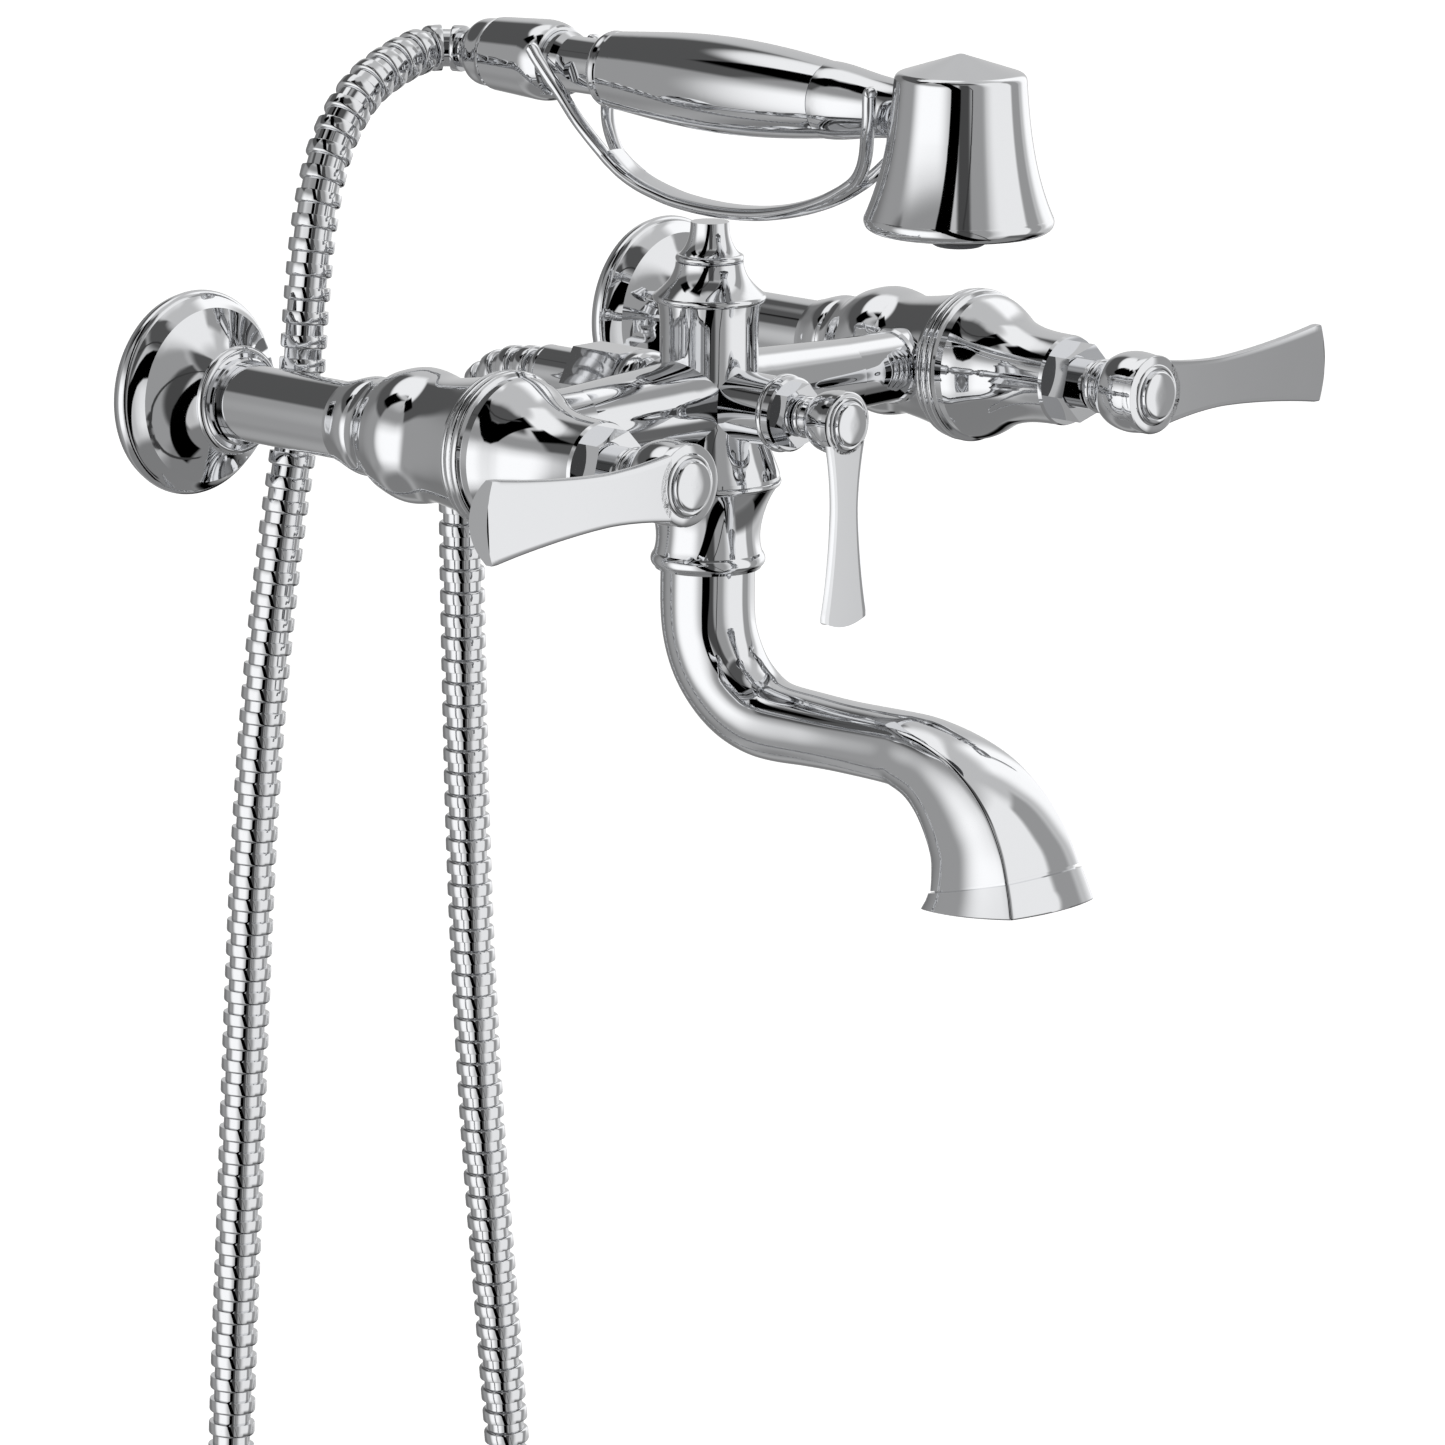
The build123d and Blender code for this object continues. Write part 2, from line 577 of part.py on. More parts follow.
with BuildPart() as diverter_lever:
    with BuildSketch(diverter_plane):
        with BuildLine():
            trace(
                ("line", (3.0 + FIT, DIVERTER_HUB + 0.1), (5.6, DIVERTER_HUB + 0.1)),
                ("curve", (5.6, DIVERTER_HUB + 0.1), (7.2, 164.6), (8.8, 167.4), (9.6, 171.4), (9.6, 174.0)),
                ("line", (9.6, 174.0), (9.6, DIVERTER_FACE), (6.6, DIVERTER_FACE), (6.6, 172.0)),
                ("line", (6.6, 172.0), (2.2, 172.0), (2.2, 169.1), (3.0 + FIT, 169.1)),
                ("line", (3.0 + FIT, 169.1), (3.0 + FIT, DIVERTER_HUB + 0.1)),
            )
        make_face()
    revolve(axis=diverter_axis)
    blade = Plane(origin=(0, -DIVERTER_FACE, 0), x_dir=(0, 0, -1), z_dir=(0, 1, 0))
    extrude(blade_outline(blade, 9.6, 10.2, 26.0, 18.0, 61.0, 2.4), amount=5.0)
    with BuildSketch(diverter_plane):
        with BuildLine():
            Polyline((0, 163), (3.0 + FIT, 163), (3.0 + FIT, 169.1), (2.2, 169.1), (2.2, 172.0))
            Polyline((2.2, 172.0), (6.6, 172.0), (6.6, 180), (0, 180), (0, 163))
        make_face()
    revolve(axis=diverter_axis, mode=Mode.SUBTRACT)
save(diverter_lever, "diverter_lever")
save(make_lever_screw(diverter_plane, diverter_axis, 172.05, 7.0), "diverter_screw")
save(make_button(diverter_plane, diverter_axis, 174.6, DIVERTER_FACE, 8.4, 7.0), "diverter_button")

# ---- spout collar and swivel spout -------------------------------------------------------------
spout_collar = turned(
    up_plane(),
    up_axis(),
    ("line", (15.0 + FIT, COLUMN_BOTTOM), (21.2, COLUMN_BOTTOM)),
    ("curve", (21.2, COLUMN_BOTTOM), (21.9, -24.0), (21.9, -25.0), (21.0, -25.8)),
    ("curve", (21.0, -25.8), (19.0, -29.0), (17.0, -34.0), (15.9, -39.0), (15.8, -43.0), (16.4, -46.0)),
    ("curve", (16.4, -46.0), (17.2, -47.4), (17.3, -48.9), (16.4, -50.2)),
    ("line", (16.4, -50.2), (16.0, COLLAR_BOTTOM), (SHANK_R + FIT, COLLAR_BOTTOM)),
    ("line", (SHANK_R + FIT, COLLAR_BOTTOM), (SHANK_R + FIT, -30.2), (15.0 + FIT, -30.2)),
    ("line", (15.0 + FIT, -30.2), (15.0 + FIT, COLUMN_BOTTOM)),
)
save(spout_collar, "spout_collar")

# Stations of the spout, from the collar to the outlet: turn below vertical or level is given by
# the path itself. Each section has a half width, a half depth above and below the path, and the
# fraction of both at which its four bowed sides meet, which is 0.707 for a circle.
RISE_START = (-REACH, SPOUT_LEVEL + RISE_BEND_R)
RISE_CENTRE = (-REACH - RISE_BEND_R, SPOUT_LEVEL + RISE_BEND_R)
TURN = math.radians(OUTLET_TURN)
FALL_CENTRE = (OUTLET_Y + FALL_BEND_R * math.sin(TURN), SPOUT_LEVEL - FALL_BEND_R)
CIRCLE_CORNER = math.sqrt(0.5)


def rise_station(degrees):
    """Point and heading on the first bend, from straight down to level."""
    a = math.radians(degrees)
    point = (RISE_CENTRE[0] + RISE_BEND_R * math.cos(a), RISE_CENTRE[1] - RISE_BEND_R * math.sin(a))
    return point, (-math.sin(a), -math.cos(a))


def fall_station(degrees):
    """Point and heading on the second bend, from level to the outlet."""
    a = math.radians(degrees)
    point = (FALL_CENTRE[0] - FALL_BEND_R * math.sin(a), FALL_CENTRE[1] + FALL_BEND_R * math.cos(a))
    return point, (-math.cos(a), -math.sin(a))


BAND_TURN = 75.5  # where the flared band of the outlet starts
SPOUT_SECTIONS = [
    (((-REACH, SPOUT_TOP), (0, -1)), SPOUT_R, SPOUT_R, SPOUT_R, CIRCLE_CORNER),
    (rise_station(0), SPOUT_R, SPOUT_R, SPOUT_R, CIRCLE_CORNER),
    (rise_station(30), 14.2, 14.1, 14.1, CIRCLE_CORNER),
    (rise_station(60), 13.8, 13.1, 13.1, CIRCLE_CORNER),
    (rise_station(90), 13.0, 11.8, 11.8, 0.71),
    (((-174.0, SPOUT_LEVEL), (-1, 0)), 12.4, 10.7, 10.7, 0.72),
    (fall_station(0), 12.8, 11.0, 10.8, 0.74),
    (fall_station(20), 13.8, 12.2, 11.3, 0.79),
    (fall_station(40), 15.4, 15.0, 13.5, 0.83),
    (fall_station(58), 16.9, 17.2, 15.3, 0.85),
    (fall_station(BAND_TURN), 19.0, 18.5, 17.6, 0.86),
]
OUTLET_BAND = [
    (fall_station(BAND_TURN), 19.6, 19.1, 18.2, 0.85),
    (fall_station(OUTLET_TURN), 21.8, 21.4, 21.0, 0.84),
]
WATERWAY_R = 8.6
AERATOR_R = 12.0
AERATOR_DEPTH = 12.0
OUTLET_POINT, OUTLET_HEADING = fall_station(OUTLET_TURN)
OUTLET_PLANE = Plane(origin=(0, *OUTLET_POINT), x_dir=(1, 0, 0), z_dir=(0, *OUTLET_HEADING))


def four_sided(station, half_width, above, below, corner):
    """Section of four bowed sides that meet at the corners, across the path at a station."""
    point, heading = station
    cx = half_width * corner
    cu = above * corner
    cd = below * corner
    across = Plane(origin=(0, *point), x_dir=(1, 0, 0), z_dir=(0, *heading))
    with BuildSketch(across) as section:
        with BuildLine():
            ThreePointArc((cx, cu), (0, above), (-cx, cu))
            ThreePointArc((-cx, cu), (-half_width, (cu - cd) / 2), (-cx, -cd))
            ThreePointArc((-cx, -cd), (0, -below), (cx, -cd))
            ThreePointArc((cx, -cd), (half_width, (cu - cd) / 2), (cx, cu))
        make_face()
    return section.sketch


with BuildPart() as spout:
    loft([four_sided(*section) for section in SPOUT_SECTIONS])
    loft([four_sided(*section) for section in OUTLET_BAND])
    shank_base = Plane(origin=(0, -REACH, SPOUT_TOP - 1), x_dir=(1, 0, 0), z_dir=(0, 0, 1))
    with BuildSketch(shank_base):
        Circle(SHANK_R)
    extrude(amount=21.8)
    with BuildSketch(up_plane()):
        for groove in (-38.0, -45.0):
            with Locations((SHANK_R, groove)):
                Rectangle(2.8, 2.2)
    revolve(axis=up_axis(), mode=Mode.SUBTRACT)
    with BuildLine() as waterway:
        Line((0, -REACH, SPOUT_TOP + 21), (0, *RISE_START))
        TangentArc((0, *RISE_START), (0, RISE_CENTRE[0], SPOUT_LEVEL), tangent=(0, 0, -1))
        Line((0, RISE_CENTRE[0], SPOUT_LEVEL), (0, FALL_CENTRE[0], SPOUT_LEVEL))
        TangentArc((0, FALL_CENTRE[0], SPOUT_LEVEL), (0, *OUTLET_POINT), tangent=(0, -1, 0))
    with BuildSketch(Plane(origin=(0, -REACH, SPOUT_TOP + 21), x_dir=(1, 0, 0), z_dir=(0, 0, -1))):
        Circle(WATERWAY_R)
    sweep(path=waterway.line, mode=Mode.SUBTRACT)
    with BuildSketch(OUTLET_PLANE.offset(1)):
        Circle(AERATOR_R + FIT)
    extrude(amount=-AERATOR_DEPTH - 1, mode=Mode.SUBTRACT)
save(spout, "spout")

with BuildPart() as spout_o_rings:
    with BuildSketch(up_plane()):
        for groove in (-38.0, -45.0):
            with Locations((SHANK_R - 0.7, groove)):
                Rectangle(1.3, 2.0)
    revolve(axis=up_axis())
save(spout_o_rings, "spout_o_rings")

with BuildPart() as aerator:
    with BuildSketch(OUTLET_PLANE.offset(-AERATOR_DEPTH)):
        Circle(AERATOR_R)
        Circle(9.6, mode=Mode.SUBTRACT)
    extrude(amount=7.0)
    with BuildSketch(OUTLET_PLANE.offset(-AERATOR_DEPTH)):
        Circle(9.6)
        with GridLocations(3.4, 3.4, 5, 5):
            Rectangle(2.6, 2.6, mode=Mode.SUBTRACT)
    extrude(amount=3.0)
save(aerator, "aerator")

# ---- hose port behind the column ----------------------------------------------------------------
port_plane = out_plane()
port_axis = out_axis()

port_sleeve = turned(
    port_plane,
    port_axis,
    ("line", (5.0, PORT_START), (9.4, PORT_START), (9.4, 97.0)),
    ("curve", (9.4, 97.0), (11.2, 95.4), (11.8, 92.8), (11.4, 90.0), (10.0, 88.0)),
    ("line", (10.0, 88.0), (6.6, 88.0), (6.6, 74.0), (5.0, 74.0), (5.0, PORT_START)),
)
save(port_sleeve, "port_sleeve")
check_valve = ring(port_plane, port_axis, 2.2, 4.9, 78.0, 92.0)
save(check_valve, "check_valve")
with BuildPart() as hose_nut:
    with BuildSketch(face_plane(68.2)):
        RegularPolygon(10.6, 6, major_radius=False)
        Circle(6.6 + FIT, mode=Mode.SUBTRACT)
    extrude(amount=19.6)
    with BuildSketch(face_plane(68.2)):
        Circle(8.1)
    extrude(amount=5.0, mode=Mode.SUBTRACT)
save(hose_nut, "hose_nut")
hose_washer = ring(port_plane, port_axis, 5.0, 8.0, 71.4, 73.2)
save(hose_washer, "hose_washer")
lower_ferrule = turned(
    port_plane,
    port_axis,
    ("line", (4.0, -PORT_EXIT_Y), (7.4, -PORT_EXIT_Y)),
    ("curve", (7.4, -PORT_EXIT_Y), (8.0, 51.0), (8.2, 53.0)),
    ("line", (8.2, 53.0), (8.2, 68.0), (8.0, 68.0), (8.0, 71.3), (4.0, 71.3), (4.0, -PORT_EXIT_Y)),
)
save(lower_ferrule, "lower_ferrule")

# ---- hand shower ------------------------------------------------------------------------------------
hand_plane = out_plane(0, HANDSET_Z)
hand_axis = out_axis(0, HANDSET_Z)
TUBE_R = 6.4

cone_nut = turned(
    hand_plane,
    hand_axis,
    ("line", (4.0, -HOSE_EXIT_Y), (9.0, -HOSE_EXIT_Y)),
    ("curve", (9.0, -HOSE_EXIT_Y), (9.5, 23.5), (10.4, 27.0), (11.1, 31.0)),
    ("line", (11.1, 31.0), (10.7, 31.3), (10.7, 31.6), (4.0, 31.6), (4.0, -HOSE_EXIT_Y)),
)
save(cone_nut, "cone_nut")
swivel_nut = turned(
    hand_plane,
    hand_axis,
    ("line", (4.0, 31.6), (10.9, 31.6), (11.3, 32.0), (12.3, 49.0)),
    ("curve", (12.3, 49.0), (12.3, 52.0), (11.9, 54.6), (11.2, 56.6)),
    ("line", (11.2, 56.6), (10.6, 57.0), (9.7, 57.0), (9.7, 44.0), (8.0, 44.0), (8.0, 34.0)),
    ("line", (8.0, 34.0), (4.0, 34.0), (4.0, 31.6)),
)
save(swivel_nut, "swivel_nut")
upper_washer = ring(hand_plane, hand_axis, 4.6, 7.9, 42.0, 44.0)
save(upper_washer, "upper_washer")

with BuildPart() as handset_neck:
    with BuildSketch(hand_plane):
        with BuildLine():
            trace(
                ("line", (4.6, 44.1), (9.6, 44.1), (9.6, 60.4), (8.5, 62.6), (8.5, 78.0)),
                ("line", (8.5, 78.0), (TUBE_R + FIT, 78.0), (TUBE_R + FIT, 66.0), (4.6, 66.0), (4.6, 44.1)),
            )
        make_face()
    revolve(axis=hand_axis)
    with BuildSketch(Plane(origin=(-10, -69.4, HANDSET_Z - 1), x_dir=(0, 1, 0), z_dir=(1, 0, 0))):
        Circle(3.2)
    extrude(amount=2.7, mode=Mode.SUBTRACT)
save(handset_neck, "handset_neck")

grip_ring = turned(
    hand_plane,
    hand_axis,
    ("line", (TUBE_R + FIT, 78.0), (10.9, 78.0)),
    ("curve", (10.9, 78.0), (11.6, 78.7), (11.7, 80.0), (11.6, 81.2)),
    ("line", (11.6, 81.2), (11.1, 81.8), (TUBE_R + FIT, 81.8), (TUBE_R + FIT, 78.0)),
)
save(grip_ring, "grip_ring")
grip = turned(
    hand_plane,
    hand_axis,
    ("line", (TUBE_R + FIT, 81.8), (11.4, 81.8), (11.8, 82.4)),
    ("curve", (11.8, 82.4), (12.9, 95.0), (14.1, 112.0), (14.4, 126.0), (13.7, 144.0), (11.3, 168.0)),
    ("line", (11.3, 168.0), (TUBE_R + FIT, 168.0), (TUBE_R + FIT, 163.0), (9.4, 163.0)),
    ("curve", (9.4, 163.0), (11.6, 144.0), (12.3, 126.0), (12.0, 112.0), (9.8, 87.0)),
    ("line", (9.8, 87.0), (TUBE_R + FIT, 87.0), (TUBE_R + FIT, 81.8)),
)
save(grip, "grip")
water_tube = ring(hand_plane, hand_axis, 4.6, TUBE_R, 66.1, 196.0)
save(water_tube, "water_tube")

HEAD_OUTLINE = (
    ("line", (0, 60.2), (20.0, 61.8)),
    ("curve", (20.0, 61.8), (25.6, 62.8), (27.3, 64.2), (27.7, 65.6), (27.3, 67.2)),
    ("curve", (27.3, 67.2), (25.4, 72.0), (22.6, 81.6), (20.6, 93.0), (19.3, 106.4)),
    ("curve", (19.3, 106.4), (18.9, 107.8), (17.6, 108.8)),
    ("line", (17.6, 108.8), (1.6, 113.9)),
    ("curve", (1.6, 113.9), (0.8, 114.15), (0, 114.2)),
    ("line", (0, 114.2), (0, 60.2)),
)
head_blank = turned(up_plane(HEAD_Y), up_axis(HEAD_Y), *HEAD_OUTLINE)

with BuildPart() as front_ferrule:
    with BuildSketch(hand_plane):
        with BuildLine():
            trace(
                ("line", (TUBE_R + FIT, 168.0), (11.1, 168.0), (11.5, 168.5)),
                ("curve", (11.5, 168.5), (11.2, 173.0), (9.9, 182.0), (8.8, 191.0), (8.4, 204.0)),
                ("line", (8.4, 204.0), (TUBE_R + FIT, 204.0), (TUBE_R + FIT, 168.0)),
            )
        make_face()
    revolve(axis=hand_axis)
    add(head_blank.part, mode=Mode.SUBTRACT)
save(front_ferrule, "front_ferrule")

with BuildPart() as shower_head:
    add(head_blank.part)
    with BuildSketch(up_plane(HEAD_Y)):
        with BuildLine():
            trace(
                ("line", (0, 60.0), (25.2, 60.0), (25.2, 66.6)),
                ("curve", (25.2, 66.6), (23.0, 73.0), (20.4, 82.0), (18.4, 93.0), (17.2, 105.0)),
                ("line", (17.2, 105.0), (0, 110.0), (0, 60.0)),
            )
        make_face()
    revolve(axis=up_axis(HEAD_Y), mode=Mode.SUBTRACT)
    with BuildSketch(face_plane(190, 0, HANDSET_Z)):
        Circle(5.0)
    extrude(amount=16, mode=Mode.SUBTRACT)
save(shower_head, "shower_head")

SPRAY_PLATE_R = 25.1
with BuildPart() as spray_plate:
    with BuildSketch(up_plane(HEAD_Y)):
        with BuildLine():
            trace(
                ("line", (6.0, 61.0), (20.0, 61.8), (SPRAY_PLATE_R, 63.0), (SPRAY_PLATE_R, 66.4)),
                ("line", (SPRAY_PLATE_R, 66.4), (23.6, 66.4), (23.0, 64.6), (6.0, 64.0), (6.0, 61.0)),
            )
        make_face()
    revolve(axis=up_axis(HEAD_Y))
    with BuildSketch(Plane(origin=(0, HEAD_Y, 60), x_dir=(1, 0, 0), z_dir=(0, 0, 1))):
        for hole_ring, count in ((10.5, 12), (15.0, 18), (19.5, 24)):
            with PolarLocations(hole_ring, count):
                Circle(0.7)
    extrude(amount=6, mode=Mode.SUBTRACT)
save(spray_plate, "spray_plate")
spray_nozzle = turned(
    up_plane(HEAD_Y),
    up_axis(HEAD_Y),
    ("line", (0, 58.2), (4.4, 58.2)),
    ("curve", (4.4, 58.2), (7.2, 58.6), (8.2, 59.6), (8.2, 60.9)),
    ("line", (8.2, 60.9), (5.95, 60.9), (5.95, 67.0), (0, 67.0), (0, 58.2)),
)
save(spray_nozzle, "spray_nozzle")
with BuildPart() as spray_divider:
    with BuildSketch(Plane(origin=(0, HEAD_Y, 68.0), x_dir=(1, 0, 0), z_dir=(0, 0, 1))):
        Circle(22.4)
        with PolarLocations(12.0, 6):
            Circle(2.6, mode=Mode.SUBTRACT)
    extrude(amount=2.0)
save(spray_divider, "spray_divider")

# ---- shower hose ----------------------------------------------------------------------------------------
HOSE_ROUTE = [
    (0, HOSE_EXIT_Y, HANDSET_Z),
    (0, -16.4, HANDSET_Z),
    (-3.3, -10.7, 95.7),
    (-9.0, -7.4, 95.6),
    (-20.6, -8.0, 93.2),
    (-38.6, -9.6, 86.6),
    (-52.8, -11.6, 72.4),
    (-61.0, -13.2, 53.6),
    (-66.4, -14.6, 27.6),
    (-69.6, -15.2, -4.4),
    (-77.4, -14.8, -43.0),
    (-84.0, -14.4, -86.0),
    (-88.8, -14.0, -133.0),
    (-92.6, -14.0, -188.0),
    (-95.8, -14.0, -246.0),
    (-99.4, -14.0, -304.0),
    (-102.2, -14.2, -362.0),
    (-104.4, -15.0, -420.0),
    (-105.6, -16.0, -477.0),
    (-106.0, -17.0, -533.0),
    (-104.4, -17.8, -586.0),
    (-88.6, -18.6, -615.4),
    (-61.0, -19.6, -632.4),
    (-28.6, -21.0, -633.6),
    (-0.6, -22.4, -617.8),
    (15.6, -23.6, -589.0),
    (19.0, -24.4, -534.0),
    (17.4, -24.8, -477.0),
    (14.8, -24.8, -421.0),
    (11.0, -24.4, -366.0),
    (6.4, -23.2, -310.0),
    (2.8, -20.6, -254.0),
    (2.0, -17.0, -200.0),
    (1.6, -14.6, -150.0),
    (0.8, -14.0, -102.0),
    (0.3, -13.6, -66.0),
    (0.1, -13.5, -42.0),
    (0, -14.0, -24.2),
    (0, -18.6, -13.2),
    (0, -27.0, -4.8),
    (0, -38.0, 0),
    (0, PORT_EXIT_Y, 0),
]


def corner_radii(route):
    """Arc radius at each corner: 0.45 of its shorter run over the tangent of half the turn."""
    radii = []
    for before, here, after in zip(route, route[1:], route[2:]):
        arriving = Vector(*here) - Vector(*before)
        leaving = Vector(*after) - Vector(*here)
        half_turn = math.radians(arriving.get_angle(leaving)) / 2
        radii.append(0.45 * min(arriving.length, leaving.length) / math.tan(half_turn))
    return radii


HOSE_RADII = corner_radii(HOSE_ROUTE)
with BuildPart() as hose_tube:
    with BuildLine() as hose_path:
        FilletPolyline(*HOSE_ROUTE, radius=HOSE_RADII)
    with BuildSketch(Plane(origin=HOSE_ROUTE[0], x_dir=(1, 0, 0), z_dir=hose_path.line % 0)):
        Circle(HOSE_OD / 2)
        Circle(HOSE_BORE / 2, mode=Mode.SUBTRACT)
    sweep(path=hose_path.line)
save(hose_tube, "hose_tube")

hose_length = sum(edge.length for edge in hose_path.edges())
section_area = math.pi * (HOSE_OD**2 - HOSE_BORE**2) / 4
print("hose arc radii:", ", ".join(f"{radius:.0f}" for radius in HOSE_RADII))
print(f"hose length {hose_length:.0f} mm, volume ratio {hose_tube.part.volume / section_area / hose_length:.4f}")
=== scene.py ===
"""A two-handle bath faucet with a swivel spout and a hand shower on a metal hose, in a plain studio."""
import json
import math

import bmesh
import bpy
from mathutils import Matrix, Vector


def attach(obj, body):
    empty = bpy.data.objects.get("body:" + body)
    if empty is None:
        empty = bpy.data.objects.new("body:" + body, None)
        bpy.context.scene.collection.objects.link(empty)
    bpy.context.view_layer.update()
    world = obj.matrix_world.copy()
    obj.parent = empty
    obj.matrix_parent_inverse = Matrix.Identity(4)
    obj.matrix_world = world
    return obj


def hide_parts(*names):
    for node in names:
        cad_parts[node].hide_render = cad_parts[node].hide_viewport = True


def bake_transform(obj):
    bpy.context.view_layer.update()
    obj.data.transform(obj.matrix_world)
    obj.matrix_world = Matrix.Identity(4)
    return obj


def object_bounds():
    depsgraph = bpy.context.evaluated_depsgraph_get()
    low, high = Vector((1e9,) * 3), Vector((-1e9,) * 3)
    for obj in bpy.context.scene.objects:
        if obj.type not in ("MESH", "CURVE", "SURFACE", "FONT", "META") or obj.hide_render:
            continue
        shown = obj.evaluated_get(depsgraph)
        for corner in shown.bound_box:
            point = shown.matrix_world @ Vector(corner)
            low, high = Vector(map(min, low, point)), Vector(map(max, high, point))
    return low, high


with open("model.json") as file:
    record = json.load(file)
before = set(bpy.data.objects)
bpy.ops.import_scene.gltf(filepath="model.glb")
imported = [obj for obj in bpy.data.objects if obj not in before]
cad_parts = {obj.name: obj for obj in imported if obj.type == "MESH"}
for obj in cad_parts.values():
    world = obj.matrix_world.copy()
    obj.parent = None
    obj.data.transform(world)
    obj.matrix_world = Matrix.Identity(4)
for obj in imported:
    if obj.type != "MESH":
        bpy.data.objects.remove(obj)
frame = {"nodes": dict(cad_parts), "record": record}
cad_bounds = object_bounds()
MM = 0.001
scene = bpy.context.scene

# ---------------------------------------------------------------- camera

CAMERA_PLACE = Vector((-1.642623, -1.681685, 0.417115))
CAMERA_AIM = Vector((0.069620, -0.060000, -0.120090))
CAMERA_ROLL = math.radians(0.39)
LENS_MM = 191.38
SENSOR_MM = 36.0


def make_camera():
    """A long lens to the left of the faucet and a little above it."""
    forward = (CAMERA_AIM - CAMERA_PLACE).normalized()
    level_right = forward.cross(Vector((0, 0, 1))).normalized()
    level_up = level_right.cross(forward)
    right = level_right * math.cos(CAMERA_ROLL) + level_up * math.sin(CAMERA_ROLL)
    up = level_up * math.cos(CAMERA_ROLL) - level_right * math.sin(CAMERA_ROLL)
    data = bpy.data.cameras.new("camera")
    data.lens = LENS_MM
    data.sensor_width = SENSOR_MM
    data.clip_start = 0.05
    data.clip_end = 50.0
    camera = bpy.data.objects.new("camera", data)
    scene.collection.objects.link(camera)
    turn = Matrix((right, up, -forward)).transposed().to_4x4()
    camera.matrix_world = Matrix.Translation(CAMERA_PLACE) @ turn
    scene.camera = camera


make_camera()

# ---------------------------------------------------------------- mesh tools


def mesh_object(name, points, faces, sharp_angle=32.0):
    """A smooth-shaded mesh whose edges stay crisp where faces meet at more than sharp_angle degrees."""
    mesh = bpy.data.meshes.new(name)
    mesh.from_pydata([tuple(point) for point in points], [], faces)
    mesh.validate()
    work = bmesh.new()
    work.from_mesh(mesh)
    bmesh.ops.recalc_face_normals(work, faces=work.faces)
    for face in work.faces:
        face.smooth = True
    for edge in work.edges:
        edge.smooth = edge.calc_face_angle(0.0) < math.radians(sharp_angle)
    work.to_mesh(mesh)
    work.free()
    piece = bpy.data.objects.new(name, mesh)
    scene.collection.objects.link(piece)
    return piece


def ring_faces(rings, sides, closed=False):
    """Quads that join each ring of points to the next, and the last to the first if closed."""
    faces = []
    for ring in range(rings if closed else rings - 1):
        here, after = ring * sides, (ring + 1) % rings * sides
        for side in range(sides):
            across = (side + 1) % sides
            faces.append((here + side, here + across, after + across, after + side))
    return faces


# ---------------------------------------------------------------- hose

HOSE_BORE_RADIUS = 0.004
HOSE_PITCH = 0.0072
BAND_LENGTH = 0.0042
BORE_STEP = 0.005
HOSE_SIDES = 40
RIGID_BEND = math.radians(12)  # a band that the route bends by less than this keeps its shape

HOSE_ROUTE = [
    (0.0000, -0.0230, 0.0955),
    (0.0000, -0.0164, 0.0955),
    (-0.0033, -0.0107, 0.0957),
    (-0.0090, -0.0074, 0.0956),
    (-0.0206, -0.0080, 0.0932),
    (-0.0386, -0.0096, 0.0866),
    (-0.0528, -0.0116, 0.0724),
    (-0.0610, -0.0132, 0.0536),
    (-0.0664, -0.0146, 0.0276),
    (-0.0696, -0.0152, -0.0044),
    (-0.0774, -0.0148, -0.0430),
    (-0.0840, -0.0144, -0.0860),
    (-0.0888, -0.0140, -0.1330),
    (-0.0926, -0.0140, -0.1880),
    (-0.0958, -0.0140, -0.2460),
    (-0.0994, -0.0140, -0.3040),
    (-0.1022, -0.0142, -0.3620),
    (-0.1044, -0.0150, -0.4200),
    (-0.1056, -0.0160, -0.4770),
    (-0.1060, -0.0170, -0.5330),
    (-0.1044, -0.0178, -0.5860),
    (-0.0886, -0.0186, -0.6154),
    (-0.0610, -0.0196, -0.6324),
    (-0.0286, -0.0210, -0.6336),
    (-0.0006, -0.0224, -0.6178),
    (0.0156, -0.0236, -0.5890),
    (0.0190, -0.0244, -0.5340),
    (0.0174, -0.0248, -0.4770),
    (0.0148, -0.0248, -0.4210),
    (0.0110, -0.0244, -0.3660),
    (0.0064, -0.0232, -0.3100),
    (0.0028, -0.0206, -0.2540),
    (0.0020, -0.0170, -0.2000),
    (0.0016, -0.0146, -0.1500),
    (0.0008, -0.0140, -0.1020),
    (0.0003, -0.0136, -0.0660),
    (0.0001, -0.0135, -0.0420),
    (0.0000, -0.0140, -0.0242),
    (0.0000, -0.0186, -0.0132),
    (0.0000, -0.0270, -0.0048),
    (0.0000, -0.0380, 0.0000),
    (0.0000, -0.0500, 0.0000),
]

# distance below the band's upper edge and radius, both in millimetres, for one band and the gap under it
BAND_PROFILE = [
    (0.00, 5.75), (0.02, 6.75), (0.08, 7.00), (0.30, 7.08), (1.70, 7.08), (3.25, 7.08),
    (3.70, 6.93), (3.98, 6.62), (4.16, 6.15), (4.22, 5.75),
]


def smooth_line(name, points):
    """The points of a smooth line that a row of control points draws."""
    curve = bpy.data.curves.new(name, "CURVE")
    curve.dimensions = "3D"
    curve.resolution_u = 24
    spline = curve.splines.new("NURBS")
    spline.points.add(len(points) - 1)
    for control, place in zip(spline.points, points):
        control.co = (*place, 1.0)
    spline.order_u = 3
    spline.use_endpoint_u = True
    holder = bpy.data.objects.new(name, curve)
    scene.collection.objects.link(holder)
    bpy.context.view_layer.update()
    line = bpy.data.meshes.new_from_object(holder)
    places = [vertex.co.copy() for vertex in line.vertices]
    bpy.data.objects.remove(holder)
    bpy.data.curves.remove(curve)
    bpy.data.meshes.remove(line)
    return places


